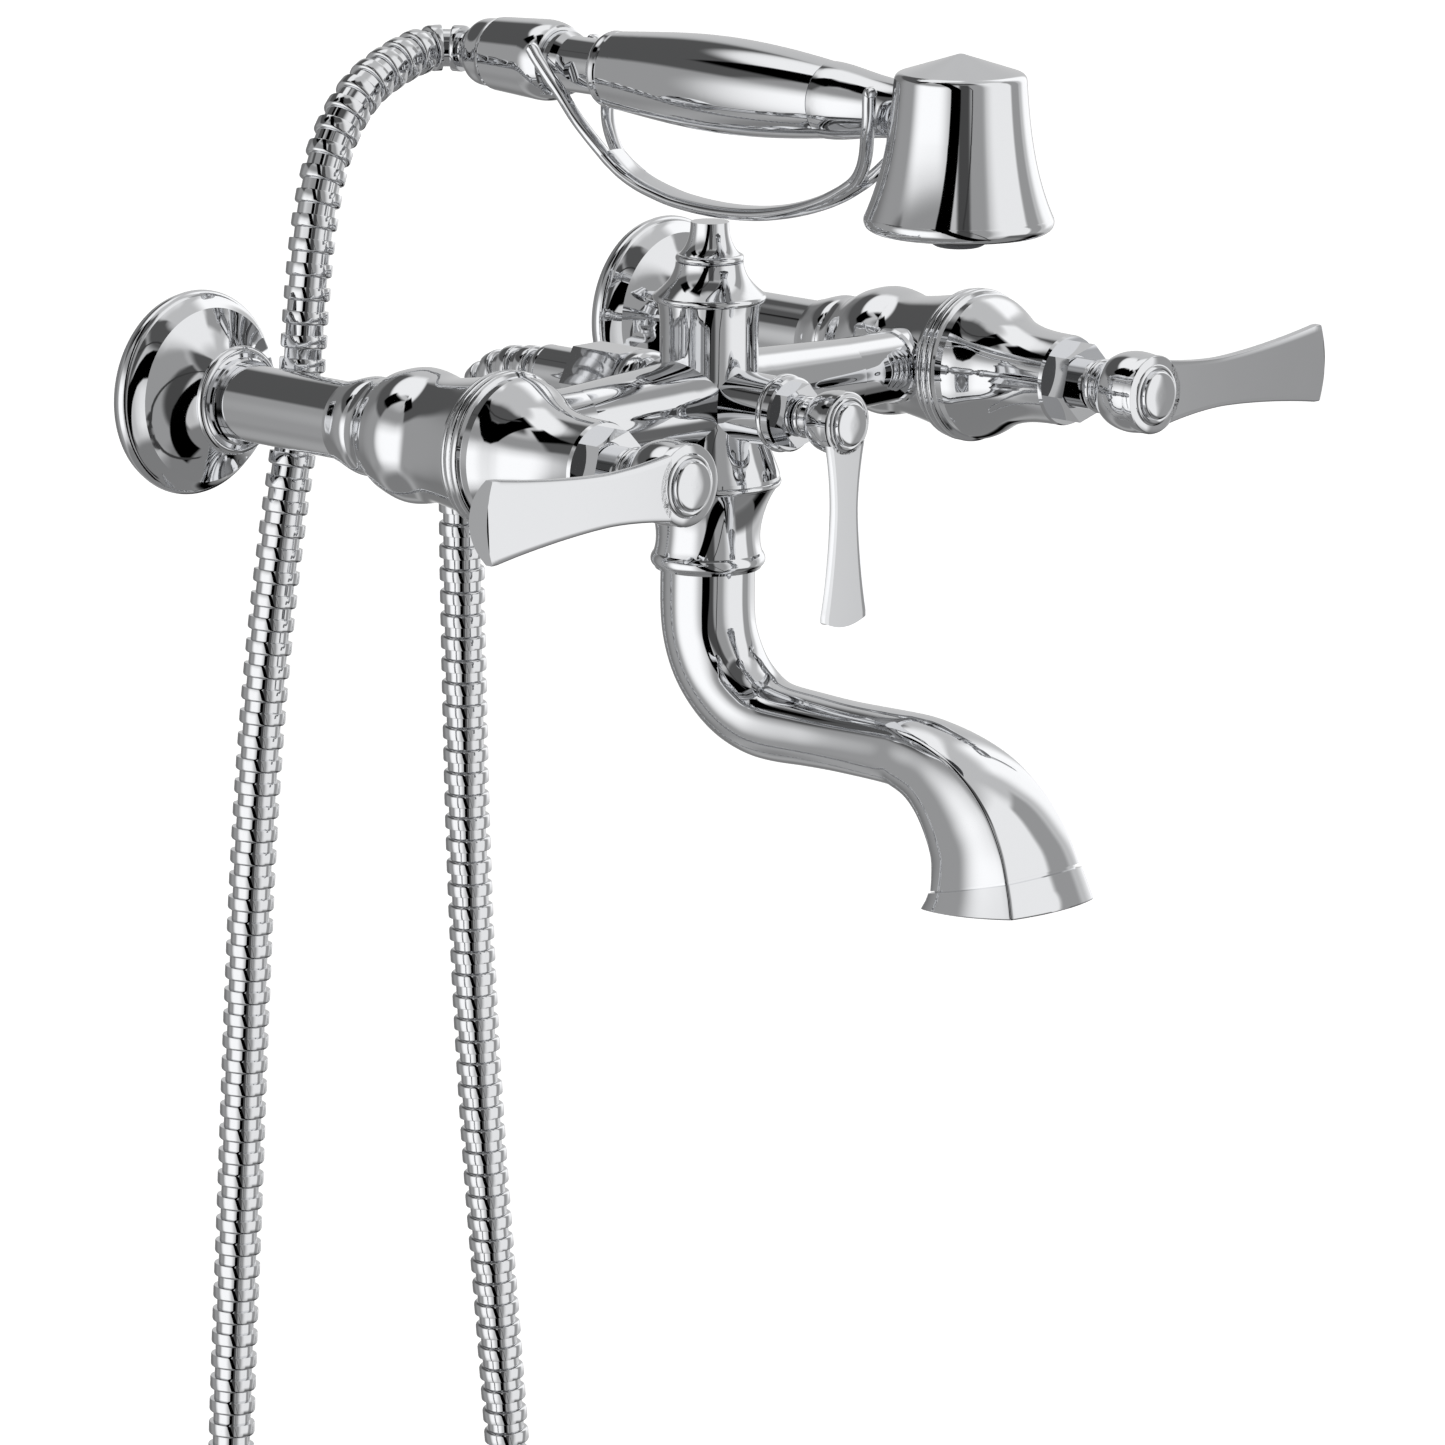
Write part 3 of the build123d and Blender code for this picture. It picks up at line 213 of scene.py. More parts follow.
class Track:
    """A line with a frame at any distance along it that never twists about the line."""

    def __init__(self, places):
        self.places = places
        self.marks = [0.0]
        for before, after in zip(places, places[1:]):
            self.marks.append(self.marks[-1] + (after - before).length)
        self.length = self.marks[-1]
        ways = [(after - before).normalized() for before, after in zip(places, places[1:])]
        self.ways = [ways[0]] + [(a + b).normalized() for a, b in zip(ways, ways[1:])] + [ways[-1]]
        side = self.ways[0].orthogonal().normalized()
        self.sides = [side]
        for before, after in zip(self.ways, self.ways[1:]):
            side = before.rotation_difference(after) @ side
            self.sides.append((side - after * side.dot(after)).normalized())
        self.step = 0

    def at(self, distance):
        """Place, direction and sideways direction at a distance from the start."""
        if distance < self.marks[self.step]:
            self.step = 0
        while self.step < len(self.marks) - 2 and distance > self.marks[self.step + 1]:
            self.step += 1
        here = self.step
        share = (distance - self.marks[here]) / (self.marks[here + 1] - self.marks[here])
        place = self.places[here].lerp(self.places[here + 1], share)
        way = self.ways[here].lerp(self.ways[here + 1], share).normalized()
        side = self.sides[here].lerp(self.sides[here + 1], share)
        return place, way, (side - way * side.dot(way)).normalized()


def circle_points(place, way, side, radius, sides):
    """Points of a circle about a line."""
    other = way.cross(side)
    points = []
    for step in range(sides):
        turn = math.tau * step / sides
        points.append(place + side * (radius * math.cos(turn)) + other * (radius * math.sin(turn)))
    return points


def make_hose():
    """Interlocked strip: rigid bands with a recess between each and the next."""
    line = smooth_line("hose_line", HOSE_ROUTE)
    track = Track(line)
    bands = round(track.length / HOSE_PITCH)
    pitch = track.length / bands
    points = []
    for band in range(bands):
        start = band * pitch
        first_way = track.at(start)[1]
        last_way = track.at(min(start + BAND_LENGTH, track.length))[1]
        centre, way, side = track.at(start + BAND_LENGTH / 2)
        rigid = first_way.angle(last_way) < RIGID_BEND
        for depth, radius in BAND_PROFILE:
            if rigid and band:
                place = centre + way * (depth * MM - BAND_LENGTH / 2)
                points += circle_points(place, way, side, radius * MM, HOSE_SIDES)
            else:
                points += circle_points(*track.at(start + depth * MM), radius * MM, HOSE_SIDES)
    points += circle_points(*track.at(track.length), BAND_PROFILE[-1][1] * MM, HOSE_SIDES)
    points += circle_points(*track.at(track.length), HOSE_BORE_RADIUS, HOSE_SIDES)
    bore_rings = int(track.length / BORE_STEP)
    for step in range(bore_rings, -1, -1):
        points += circle_points(*track.at(track.length * step / bore_rings), HOSE_BORE_RADIUS, HOSE_SIDES)
    rings = len(points) // HOSE_SIDES
    hose = mesh_object("shower_hose", points, ring_faces(rings, HOSE_SIDES, closed=True))
    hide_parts("hose_tube")
    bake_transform(hose)
    return hose


hose = make_hose()

# ---------------------------------------------------------------- shapes

# The sizes and places of the levers, the buttons, the spout and the cradle are in millimetres.
UP, RIGHT, OUT = Vector((0, 0, 1)), Vector((1, 0, 0)), Vector((0, -1, 0))  # OUT is away from the wall
TURNED_SIDES = 96


def four_round(rows, here):
    """The four rows round the gap after one of them; the first and last rows stand in past the ends."""
    return rows[max(here - 1, 0)], rows[here], rows[here + 1], rows[min(here + 2, len(rows) - 1)]


def eased(a, b, c, d, share):
    """A value a share of the way from b to c, on the smooth curve through a, b, c and d."""
    squared = 2 * a - 5 * b + 4 * c - d
    cubed = 3 * b - a - 3 * c + d
    return 0.5 * (2 * b + (c - a) * share + squared * share**2 + cubed * share**3)


def smooth_through(points, steps):
    """More points on a smooth curve through a row of points, steps to each gap."""
    rows = [Vector(point) for point in points]
    made = []
    for here in range(len(rows) - 1):
        around = four_round(rows, here)
        made += [eased(*around, step / steps) for step in range(steps)]
    return made + [rows[-1]]


def turned(profile, foot, closed=False):
    """A turned shell that comes straight out from the wall, from (radius, distance) pairs in millimetres."""
    side = OUT.orthogonal().normalized()
    points = []
    for radius, distance in profile:
        points += circle_points(foot + OUT * (distance * MM), OUT, side, radius * MM, TURNED_SIDES)
    return points, ring_faces(len(profile), TURNED_SIDES, closed)


def joined(name, *parts, sharp_angle=32.0):
    """One piece from several (points, faces) shells."""
    points, faces = [], []
    for shell_points, shell_faces in parts:
        base = len(points)
        points += shell_points
        faces += [tuple(corner + base for corner in face) for face in shell_faces]
    return mesh_object(name, points, faces, sharp_angle)


def chromed(piece, node, body):
    """A chromed piece that stands in for a node and moves with a body."""
    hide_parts(node)
    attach(piece, body)
    return piece


def capped(points, sides):
    """Rings joined into a tube with a flat end at each end."""
    rings = len(points) // sides
    ends = [tuple(range(sides)), tuple(range((rings - 1) * sides, rings * sides))]
    return points, ring_faces(rings, sides) + ends


# ---------------------------------------------------------------- lever handles

VALVE_X = 101.6
MAIN_FACE = 208.6  # front of a valve lever, from the wall
DIVERTER_FACE = 176.0  # front of the diverter lever
BLADE_STATIONS = 56
FACE_STEPS = 14
EDGE_ROUND = 0.45  # the small round where the blade's face meets its edge

# hub radius, width of the waist and its distance from the hub's middle, width of the tip, whole length,
# bow of the tip, thickness at the edge, and crown of the back
MAIN_BLADE = (12.0, 15.2, 31.0, 24.0, 80.5, 2.2, 2.6, 4.4)
DIVERTER_BLADE = (9.6, 10.2, 26.0, 18.0, 61.0, 2.2, 2.0, 3.0)

# radius and distance from the wall: the barrel of each hub, swelling and then straight
MAIN_BARREL = [(7.4, 190.1), (9.0, 191.4), (11.4, 195.4), (12.4, 200.4), (12.0, 205.6)]
DIVERTER_BARREL = [(5.6, 163.5), (7.2, 164.6), (8.8, 167.4), (9.6, 171.4), (9.6, 174.0)]


def blade_section(half_width, edge, crown):
    """One section of a blade, as (across, depth) pairs: flat in front, crowned behind."""
    flat = half_width - EDGE_ROUND
    front = [(flat * (2 * step / FACE_STEPS - 1), 0.0) for step in range(FACE_STEPS + 1)]
    round_off = [(flat + EDGE_ROUND * 0.7, EDGE_ROUND * 0.3), (half_width, EDGE_ROUND)]
    back = []
    for step in range(FACE_STEPS + 1):
        share = 1 - 2 * step / FACE_STEPS
        back.append((half_width * share, edge + crown * (1 - abs(share) ** 2.4)))
    return front + round_off + back + [(-across, depth) for across, depth in reversed(round_off)]


def blade_shell(face, along, across, sizes):
    """A lever blade that leaves the hub along one way: waisted, then flared to a bowed tip."""
    hub, waist, waist_at, tip, length, bow, edge, crown = sizes
    start = hub * 0.6
    root = math.sqrt(hub**2 - start**2)
    flare = length - bow
    points = []
    for station in range(BLADE_STATIONS + 1):
        share = station / BLADE_STATIONS
        place = start + (length - start) * share
        if place < waist_at:
            half = waist / 2 + (root - waist / 2) * ((waist_at - place) / (waist_at - start)) ** 1.8
        else:
            half = waist / 2 + (tip - waist) / 2 * ((place - waist_at) / (flare - waist_at)) ** 1.55
        half = min(half, tip / 2)
        for side, depth in blade_section(half, edge, crown):
            bowed = place - bow * (side / half) ** 2 * share**6
            points.append(face + (along * bowed + across * side - OUT * depth) * MM)
    return capped(points, len(points) // (BLADE_STATIONS + 1))


def make_lever(name, node, body, face, along, across, hub, blade):
    """A barrel hub with its blade."""
    foot = Vector((face.x, 0, face.z))
    parts = turned(hub, foot, closed=True), blade_shell(face, along, across, blade)
    return chromed(joined(name, *parts, sharp_angle=28.0), node, body)


def make_button(name, node, body, foot, face, step, outer):
    """Index button: a flat disc with a rounded rim, in a raised ring."""
    disc = [
        (0.02, face + 2.62), (step * 0.5, face + 2.58), (step * 0.84, face + 2.35), (step * 0.96, face + 1.9),
        (step, face + 1.1),
    ]
    ring = [
        (step, face + 0.5), (step + 0.35, face + 0.45), (step + 0.9, face + 0.75), (outer - 0.5, face + 0.6),
        (outer - 0.1, face + 0.2), (outer, face - 0.2), (outer, face - 2.0), (0.02, face - 2.0),
    ]
    shell = turned(smooth_through(disc, 4) + ring, foot)
    return chromed(joined(name, shell, sharp_angle=40.0), node, body)


MAIN_HUB = [
    (5.05, 190.1), *smooth_through(MAIN_BARREL, 8), (12.0, 208.0), (11.8, 208.4), (11.4, MAIN_FACE),
    (7.6, MAIN_FACE), (7.6, 204.0), (2.2, 204.0), (2.2, 200.1), (5.05, 200.1),
]
DIVERTER_HUB = [
    (3.05, 163.5), *smooth_through(DIVERTER_BARREL, 8), (9.6, 175.5), (9.4, 175.8), (9.1, DIVERTER_FACE),
    (6.6, DIVERTER_FACE), (6.6, 172.0), (2.2, 172.0), (2.2, 169.1), (3.05, 169.1),
]

levers = []
for side_name, side in (("left", -1), ("right", 1)):
    body = f"lever_{side_name}_body"
    face = Vector((side * VALVE_X, -MAIN_FACE, 0)) * MM
    levers.append(make_lever(
        f"handle_{side_name}", f"lever_{side_name}", body, face, RIGHT * side, UP, MAIN_HUB, MAIN_BLADE,
    ))
face = Vector((0, -DIVERTER_FACE, 0)) * MM
levers.append(make_lever(
    "diverter_handle", "diverter_lever", "diverter_body", face, -UP, RIGHT, DIVERTER_HUB, DIVERTER_BLADE,
))
for side_name, side in (("left", -1), ("right", 1)):
    body = f"lever_{side_name}_body"
    foot = Vector((side * VALVE_X, 0, 0)) * MM
    levers.append(make_button(
        f"button_{side_name}", f"index_button_{side_name}", body, foot, MAIN_FACE, 7.4, 9.4,
    ))
levers.append(make_button(
    "diverter_disc", "diverter_button", "diverter_body", Vector(), DIVERTER_FACE, 6.6, 8.4,
))

# ---------------------------------------------------------------- spout

REACH = 119.4  # from the wall to the upright part of the spout
SPOUT_TOP = -51.3
SPOUT_LEVEL = -94.3  # height of the middle of the level part
RISE_BEND = 31.4  # radii of the two bends
FALL_BEND = 43.4
OUTLET_TURN = 85.3  # degrees that the second bend turns through
OUTLET_Y = -241.2
RISE_CENTRE = (-REACH - RISE_BEND, SPOUT_LEVEL + RISE_BEND)
FALL_CENTRE = (OUTLET_Y + FALL_BEND * math.sin(math.radians(OUTLET_TURN)), SPOUT_LEVEL - FALL_BEND)
SIDE_STEPS = 22
ARRIS_ROUND = 0.9  # how far from an arris its small round begins
RING_POINTS = 4 * (SIDE_STEPS + 4)


def rise(degrees):
    """Place and heading on the first bend, from straight down to level, in the plane of the spout."""
    cos, sin = math.cos(math.radians(degrees)), math.sin(math.radians(degrees))
    return RISE_CENTRE[0] + RISE_BEND * cos, RISE_CENTRE[1] - RISE_BEND * sin, -sin, -cos


def fall(degrees):
    """Place and heading on the second bend, from level to the outlet."""
    cos, sin = math.cos(math.radians(degrees)), math.sin(math.radians(degrees))
    return FALL_CENTRE[0] - FALL_BEND * sin, FALL_CENTRE[1] + FALL_BEND * cos, -cos, -sin


# place and heading, then half width, half depth above and below, and the fraction of them at which
# the four bowed sides meet, which is 0.707 for a circle
ROUND = math.sqrt(0.5)
SPOUT_SECTIONS = [
    ((-REACH, SPOUT_TOP, 0, -1), 14.3, 14.3, 14.3, ROUND),
    (rise(0), 14.3, 14.3, 14.3, ROUND),
    (rise(15), 14.25, 14.2, 14.2, ROUND),
    (rise(30), 14.2, 14.1, 14.1, ROUND),
    (rise(45), 14.0, 13.6, 13.6, ROUND),
    (rise(60), 13.8, 13.1, 13.1, ROUND),
    (rise(75), 13.4, 12.4, 12.4, 0.708),
    (rise(90), 13.0, 11.8, 11.8, 0.71),
    ((-164.0, SPOUT_LEVEL, -1, 0), 12.6, 11.1, 11.1, 0.715),
    ((-178.0, SPOUT_LEVEL, -1, 0), 12.4, 10.7, 10.7, 0.725),
    (fall(0), 12.8, 11.0, 10.8, 0.745),
    (fall(10), 13.3, 11.5, 11.0, 0.765),
    (fall(20), 13.8, 12.2, 11.3, 0.79),
    (fall(30), 14.6, 13.5, 12.3, 0.81),
    (fall(40), 15.4, 15.0, 13.5, 0.83),
    (fall(50), 16.2, 16.3, 14.5, 0.843),
    (fall(58), 16.9, 17.2, 15.3, 0.85),
    (fall(67), 18.0, 18.0, 16.6, 0.856),
    (fall(74.8), 18.9, 18.4, 17.5, 0.86),
]
OUTLET_BAND = [
    (fall(74.95), 17.9, 17.4, 16.5, 0.86),
    (fall(75.7), 17.9, 17.4, 16.5, 0.86),
    (fall(75.9), 19.6, 19.1, 18.2, 0.855),
    (fall(80.0), 20.5, 20.0, 19.3, 0.85),
    (fall(84.9), 21.7, 21.3, 20.9, 0.845),
    (fall(85.3), 21.5, 21.1, 20.7, 0.845),
    (fall(85.3), 15.2, 15.0, 14.8, 0.80),
    (fall(84.6), 14.6, 14.4, 14.2, 0.78),
    (fall(79.5), 12.4, 12.4, 12.4, ROUND),
    (fall(72.0), 12.4, 12.4, 12.4, ROUND),
]


def arc_through(first, middle, last, steps):
    """Points of the circular arc through three points, stopping ARRIS_ROUND short of both its ends."""
    a, b, c = Vector(first), Vector(middle), Vector(last)
    chord = c - a
    half = chord.length / 2
    rise_vector = b - (a + c) / 2
    height = rise_vector.length
    radius = (half**2 + height**2) / (2 * height)
    up = rise_vector.normalized()
    centre = b - up * radius
    along = chord.normalized()
    spread = math.asin(min(1.0, half / radius)) - ARRIS_ROUND / radius
    points = []
    for step in range(steps + 1):
        angle = spread * (2 * step / steps - 1)
        points.append(centre + along * (radius * math.sin(angle)) + up * (radius * math.cos(angle)))
    return points


def spout_ring(section):
    """Points round one section of the spout."""
    (y, z, ahead_y, ahead_z), half, above, below, corner = section
    cx, cu, cd = half * corner, above * corner, below * corner
    corners = [Vector(place) for place in ((cx, cu), (-cx, cu), (-cx, -cd), (cx, -cd))]
    middles = ((0, above), (-half, (cu - cd) / 2), (0, -below), (half, (cu - cd) / 2))
    turns = corners[1:] + corners[:1]  # the corner at the end of each side
    arcs = [arc_through(*places, SIDE_STEPS) for places in zip(corners, middles, turns)]
    outline = []
    for arc, turn, next_arc in zip(arcs, turns, arcs[1:] + arcs[:1]):
        after = next_arc[0]
        outline += arc
        for share in (0.25, 0.5, 0.75):
            outline.append(arc[-1] * (1 - share) ** 2 + turn * (2 * share * (1 - share)) + after * share**2)
    up = Vector((0, ahead_z, -ahead_y))
    return [(Vector((across, y, z)) + up * height) * MM for across, height in outline]


def between_sections(sections, steps):
    """Sections eased in between those of a row."""
    rows = [(*place, *sizes) for place, *sizes in sections]
    made = []
    for here in range(len(rows) - 1):
        around = four_round(rows, here)
        for step in range(steps):
            y, z, ahead_y, ahead_z, *sizes = [eased(*column, step / steps) for column in zip(*around)]
            size = math.hypot(ahead_y, ahead_z)
            made.append(((y, z, ahead_y / size, ahead_z / size), *sizes))
    return made + [sections[-1]]


def make_spout():
    """Cast spout: round at the collar, four bowed sides with narrow arrises at the flared outlet."""
    points = []
    for section in between_sections(SPOUT_SECTIONS, 5) + OUTLET_BAND:
        points += spout_ring(section)
    return chromed(joined("cast_spout", capped(points, RING_POINTS), sharp_angle=40.0), "spout", "spout_body")


spout = make_spout()

# ---------------------------------------------------------------- cradle

# places along the strap, from the wall end: distance along y and height
STRAP_LINE = [
    (-78.6, 69.6), (-85.0, 65.4), (-92.0, 62.4), (-99.6, 60.4), (-107.7, 58.9), (-119.4, 58.0),
    (-130.0, 58.0), (-139.8, 58.7), (-148.0, 60.0), (-155.5, 61.7), (-163.6, 64.2), (-171.5, 67.5),
    (-178.0, 71.2), (-181.0, 73.2),
]
STRAP_HALF = 5.3  # half the width of the strap
STRAP_DEPTH = 2.2  # half its thickness
STRAP_SIDES = 40
PRONG_HALF = 2.2
PRONG_DEPTH = 1.8
PRONG_SIDES = 20
PRONG_TIP = [0.97, 0.85, 0.62, 0.2]  # how a prong's thickness falls off at its tip
# one prong of each fork, from inside the strap to its rolled tip: distance from the middle, then place
FORKS = {
    "rear": [
        (2.7, -88.0, 64.1), (2.8, -81.5, 67.5), (3.2, -77.4, 70.8), (4.8, -73.0, 75.8),
        (6.9, -69.8, 80.8), (10.2, -66.8, 88.0), (12.0, -63.2, 93.4), (12.8, -59.2, 98.4),
        (13.2, -57.6, 100.8), (13.6, -56.4, 101.6),
    ],
    "front": [
        (2.7, -170.0, 66.9), (2.8, -176.0, 70.0), (3.2, -181.0, 73.4), (4.8, -185.0, 77.4),
        (7.3, -188.6, 82.2), (10.4, -192.0, 88.2), (12.0, -194.0, 94.2), (12.4, -194.4, 99.6),
        (12.6, -194.8, 101.4), (12.9, -196.2, 102.0),
    ],
}


def oval_sweep(line, sizes, sides):
    """A bar of oval section along a line, from its half width and half depth at each place."""
    points = []
    for here, place in enumerate(line):
        way = (line[min(here + 1, len(line) - 1)] - line[max(here - 1, 0)]).normalized()
        side = (RIGHT - way * RIGHT.dot(way)).normalized()
        other = way.cross(side)
        half, depth = sizes[here]
        for step in range(sides):
            turn = math.tau * step / sides
            across = abs(math.cos(turn)) ** 0.8 * math.copysign(1, math.cos(turn))
            points.append(place + side * (half * across) + other * (depth * math.sin(turn)))
    return capped([point * MM for point in points], sides)


def prong_shell(knots, side):
    """One prong of a fork: it leaves the strap, spreads, rises and ends in a small rolled tip."""
    line = smooth_through([(side * off, y, z) for off, y, z in knots], 6)
    shrinks = [1.0] * (len(line) - len(PRONG_TIP)) + PRONG_TIP
    sizes = [(PRONG_HALF * shrink, PRONG_DEPTH * shrink) for shrink in shrinks]
    return oval_sweep(line, sizes, PRONG_SIDES)


def make_cradle():
    """Boat-shaped strap on its post, forked at each end to hold the hand shower."""
    line = smooth_through([(0, y, z) for y, z in STRAP_LINE], 5)
    parts = [oval_sweep(line, [(STRAP_HALF, STRAP_DEPTH)] * len(line), STRAP_SIDES)]
    for knots in FORKS.values():
        parts += [prong_shell(knots, side) for side in (-1, 1)]
    return chromed(joined("fork_cradle", *parts, sharp_angle=50.0), "cradle", "root")


cradle = make_cradle()

# ---------------------------------------------------------------- materials


def from_hex(code):
    """Linear colour of an sRGB hex value."""
    channels = [int(code[place : place + 2], 16) / 255 for place in (1, 3, 5)]
    return [c / 12.92 if c <= 0.04045 else ((c + 0.055) / 1.055) ** 2.4 for c in channels] + [1.0]


def add(tree, kind, links=None, **settings):
    """A node of a kind, with its settings, and its inputs set to values or joined to outputs."""
    node = tree.nodes.new(kind)
    for name, value in settings.items():
        setattr(node, name, value)
    for socket, value in (links or {}).items():
        if isinstance(value, bpy.types.NodeSocket):
            tree.links.new(value, node.inputs[socket])
        else:
            node.inputs[socket].default_value = value
    return node


def new_material(name, colour, metallic, roughness, **more):
    """A material with one main shader. Returns it, its tree, its shader and its place in metres."""
    material = bpy.data.materials.new(name)
    material.use_nodes = True
    tree = material.node_tree
    tree.nodes.clear()
    links = {"Base Color": from_hex(colour), "Metallic": metallic, "Roughness": roughness, **more}
    shader = add(tree, "ShaderNodeBsdfPrincipled", links)
    add(tree, "ShaderNodeOutputMaterial", {"Surface": shader.outputs["BSDF"]})
    place = add(tree, "ShaderNodeTexCoord").outputs["Object"]
    return material, tree, shader, place


def cloud(tree, place, size_mm, low, high, detail=3.0):
    """Noise whose blotches are about size_mm across, running from low to high."""
    links = {"Vector": place, "Scale": 1.0 / (size_mm * MM), "Detail": detail}
    noise = add(tree, "ShaderNodeTexNoise", links)
    spread = {"Value": noise.outputs["Fac"], "From Min": 0.3, "From Max": 0.7, "To Min": low, "To Max": high}
    return add(tree, "ShaderNodeMapRange", spread).outputs["Result"]


def relief(tree, shader, place, size_mm, strength, depth_mm, detail=3.0):
    """Unevenness in blotches about size_mm across and depth_mm deep."""
    height = cloud(tree, place, size_mm, 0.0, 1.0, detail)
    links = {"Height": height, "Strength": strength, "Distance": depth_mm * MM}
    tree.links.new(add(tree, "ShaderNodeBump", links).outputs["Normal"], shader.inputs["Normal"])


def polished_chrome():
    """Bright chromium plate on buffed brass: mirror sharp, with the faintest haze and buffing swells."""
    material, tree, shader, place = new_material("polished_chrome", "#e3e4e6", 1.0, 0.04)
    tree.links.new(cloud(tree, place, 14, 0.015, 0.05), shader.inputs["Roughness"])
    relief(tree, shader, place, 16, 0.2, 0.004, detail=1.0)
    return material


def hose_chrome():
    """Chromed steel strip, drawn and wound: a little less flat than the castings, with fine draw lines."""
    material, tree, shader, place = new_material("hose_chrome", "#dfe0e2", 1.0, 0.05)
    tree.links.new(cloud(tree, place, 5, 0.025, 0.07), shader.inputs["Roughness"])
    relief(tree, shader, place, 6, 0.15, 0.004, detail=1.0)
    return material


def machined_brass():
    """Free-cutting brass straight from the lathe: warm, with a fine tool mark."""
    material, tree, shader, place = new_material("machined_brass", "#c9a561", 1.0, 0.3)
    tree.links.new(cloud(tree, place, 2, 0.22, 0.36), shader.inputs["Roughness"])
    relief(tree, shader, place, 0.6, 0.3, 0.01)
    return material


def stainless_steel():
    """Cold-headed stainless: dull silver, lightly tumbled."""
    material, tree, shader, place = new_material("stainless_steel", "#b9babb", 1.0, 0.28)
    tree.links.new(cloud(tree, place, 1.5, 0.2, 0.36), shader.inputs["Roughness"])
    return material


def lapped_ceramic():
    """Lapped alumina: white, very flat, with a soft sheen."""
    material, tree, shader, place = new_material("lapped_ceramic", "#ece9e2", 0.0, 0.18, IOR=1.77)
    tree.links.new(cloud(tree, place, 1.0, 0.14, 0.24), shader.inputs["Roughness"])
    return material


def nitrile_rubber():
    """Moulded black nitrile: matte, with a faint bloom."""
    material, tree, shader, place = new_material("nitrile_rubber", "#1b1b1c", 0.0, 0.6, IOR=1.52)
    tree.links.new(cloud(tree, place, 1.2, 0.5, 0.72), shader.inputs["Roughness"])
    relief(tree, shader, place, 0.4, 0.3, 0.02)
    return material


def moulded_acetal(name, colour):
    """Injection-moulded acetal: slightly waxy, with a fine spark-eroded texture."""
    material, tree, shader, place = new_material(name, colour, 0.0, 0.4, IOR=1.48)
    tree.links.new(cloud(tree, place, 2.0, 0.34, 0.5), shader.inputs["Roughness"])
    relief(tree, shader, place, 0.35, 0.25, 0.012)
    return material


FINISHES = {
    "polished_chrome": polished_chrome(),
    "hose_metal": hose_chrome(),
    "raw_brass": machined_brass(),
    "steel_screw": stainless_steel(),
    "ceramic_disc": lapped_ceramic(),
    "seal_rubber": nitrile_rubber(),
    "white_plastic": moulded_acetal("white_acetal", "#dcdcd8"),
    "dark_plastic": moulded_acetal("grey_acetal", "#3b3c3f"),
}


def paint(piece, slot_name):
    """Gives a piece the finish of one of the record's material slots."""
    piece.data.materials.clear()
    piece.data.materials.append(FINISHES[slot_name])


for subpart in frame["record"]["subparts"]:
    paint(frame["nodes"][subpart["node"]], subpart["material_slot"])
paint(hose, "hose_metal")
for piece in (*levers, spout, cradle):
    paint(piece, "polished_chrome")

# ---------------------------------------------------------------- studio

FLOOR_DROP = 0.05  # floor below the lowest point of the hose
FLOOR_RADIUS = 14.0
FLOOR_SIDES = 96
FLOOR_GLOW = 0.62  # keeps the floor as pale as the backdrop
CAMERA_SIDE = math.atan2(CAMERA_PLACE.y - CAMERA_AIM.y, CAMERA_PLACE.x - CAMERA_AIM.x)

# Soft boxes and flags round the faucet: degrees to the right of the camera, half width, lowest and
# highest elevation, brightness, and softness of the edge in degrees. Later ones cover earlier ones.
STUDIO_PANELS = [
    ("grey wall behind on the left", -142, 50, -45, 42, 0.18, 12),
    ("grey wall on the left", -100, 18, -42, 42, 0.30, 14),
    ("large soft box on the left", -54, 25, -40, 16, 1.0, 13),
    ("edge of the left soft box", -58, 42, 23, 44, 0.28, 7),
    ("lit ceiling on the left", -140, 44, 50, 76, 0.86, 6),
    ("dark beam over the left wall", -125, 42, 24, 49, 0.08, 3),
    ("black flag high on the left", -94, 13, 39, 58, 0.0, 2),
    ("dark ceiling over the camera", -15, 55, 50, 80, 0.08, 6),
    ("grey card on the right", 24, 14, -60, 46, 0.30, 5),
    ("soft box on the right", 74, 26, -30, 66, 0.82, 10),
    ("gap between the right soft boxes", 105.4, 10.5, -32, 46, 0.30, 3),
    ("soft box behind on the right", 145, 16, -12, 56, 0.97, 8),
    ("wall behind", 178, 14, -20, 50, 0.50, 8),
    ("low shade on the right", 120, 55, -52, -27, 0.12, 5),
    ("black flag low behind", 150, 32, -48, -34, 0.0, 2),
    ("card beside the camera", 5, 9, -62, 48, 0.06, 3),
]
GROUND_LEVEL = 0.20  # brightness of the unlit ground well below the faucet
GROUND_TOP = -48  # elevation in degrees where the ground begins
GROUND_SOFT = 6
OPEN_LEVEL = 0.50  # where there is no panel
STUDIO_STRENGTH = 1.25

# Tall flags that lean: degrees to the right of the camera at eye level, lean, half width, brightness and
# softness of the edge
STUDIO_STRIPS = [
    ("black flag beside the lens", -9, 19, 8.0, 0.0, 0.7),
    ("edge of the grey card", 19, 19, 0.9, 0.04, 0.4),
]


def make_floor():
    """A wide pale disc under the faucet."""
    low = cad_bounds[0].z - FLOOR_DROP
    rim = circle_points(UP * low, UP, RIGHT, FLOOR_RADIUS, FLOOR_SIDES)
    floor = mesh_object("floor", rim, [tuple(range(FLOOR_SIDES))])
    material, _, shader, _ = new_material("pale_floor", "#f6f6f6", 0.0, 0.9)
    shader.inputs["Emission Color"].default_value = from_hex("#ffffff")
    shader.inputs["Emission Strength"].default_value = FLOOR_GLOW
    floor.data.materials.append(material)
    floor.visible_glossy = False


def sine(degrees):
    """Sine of an angle held between straight down and straight up."""
    return math.sin(math.radians(max(-90, min(90, degrees))))


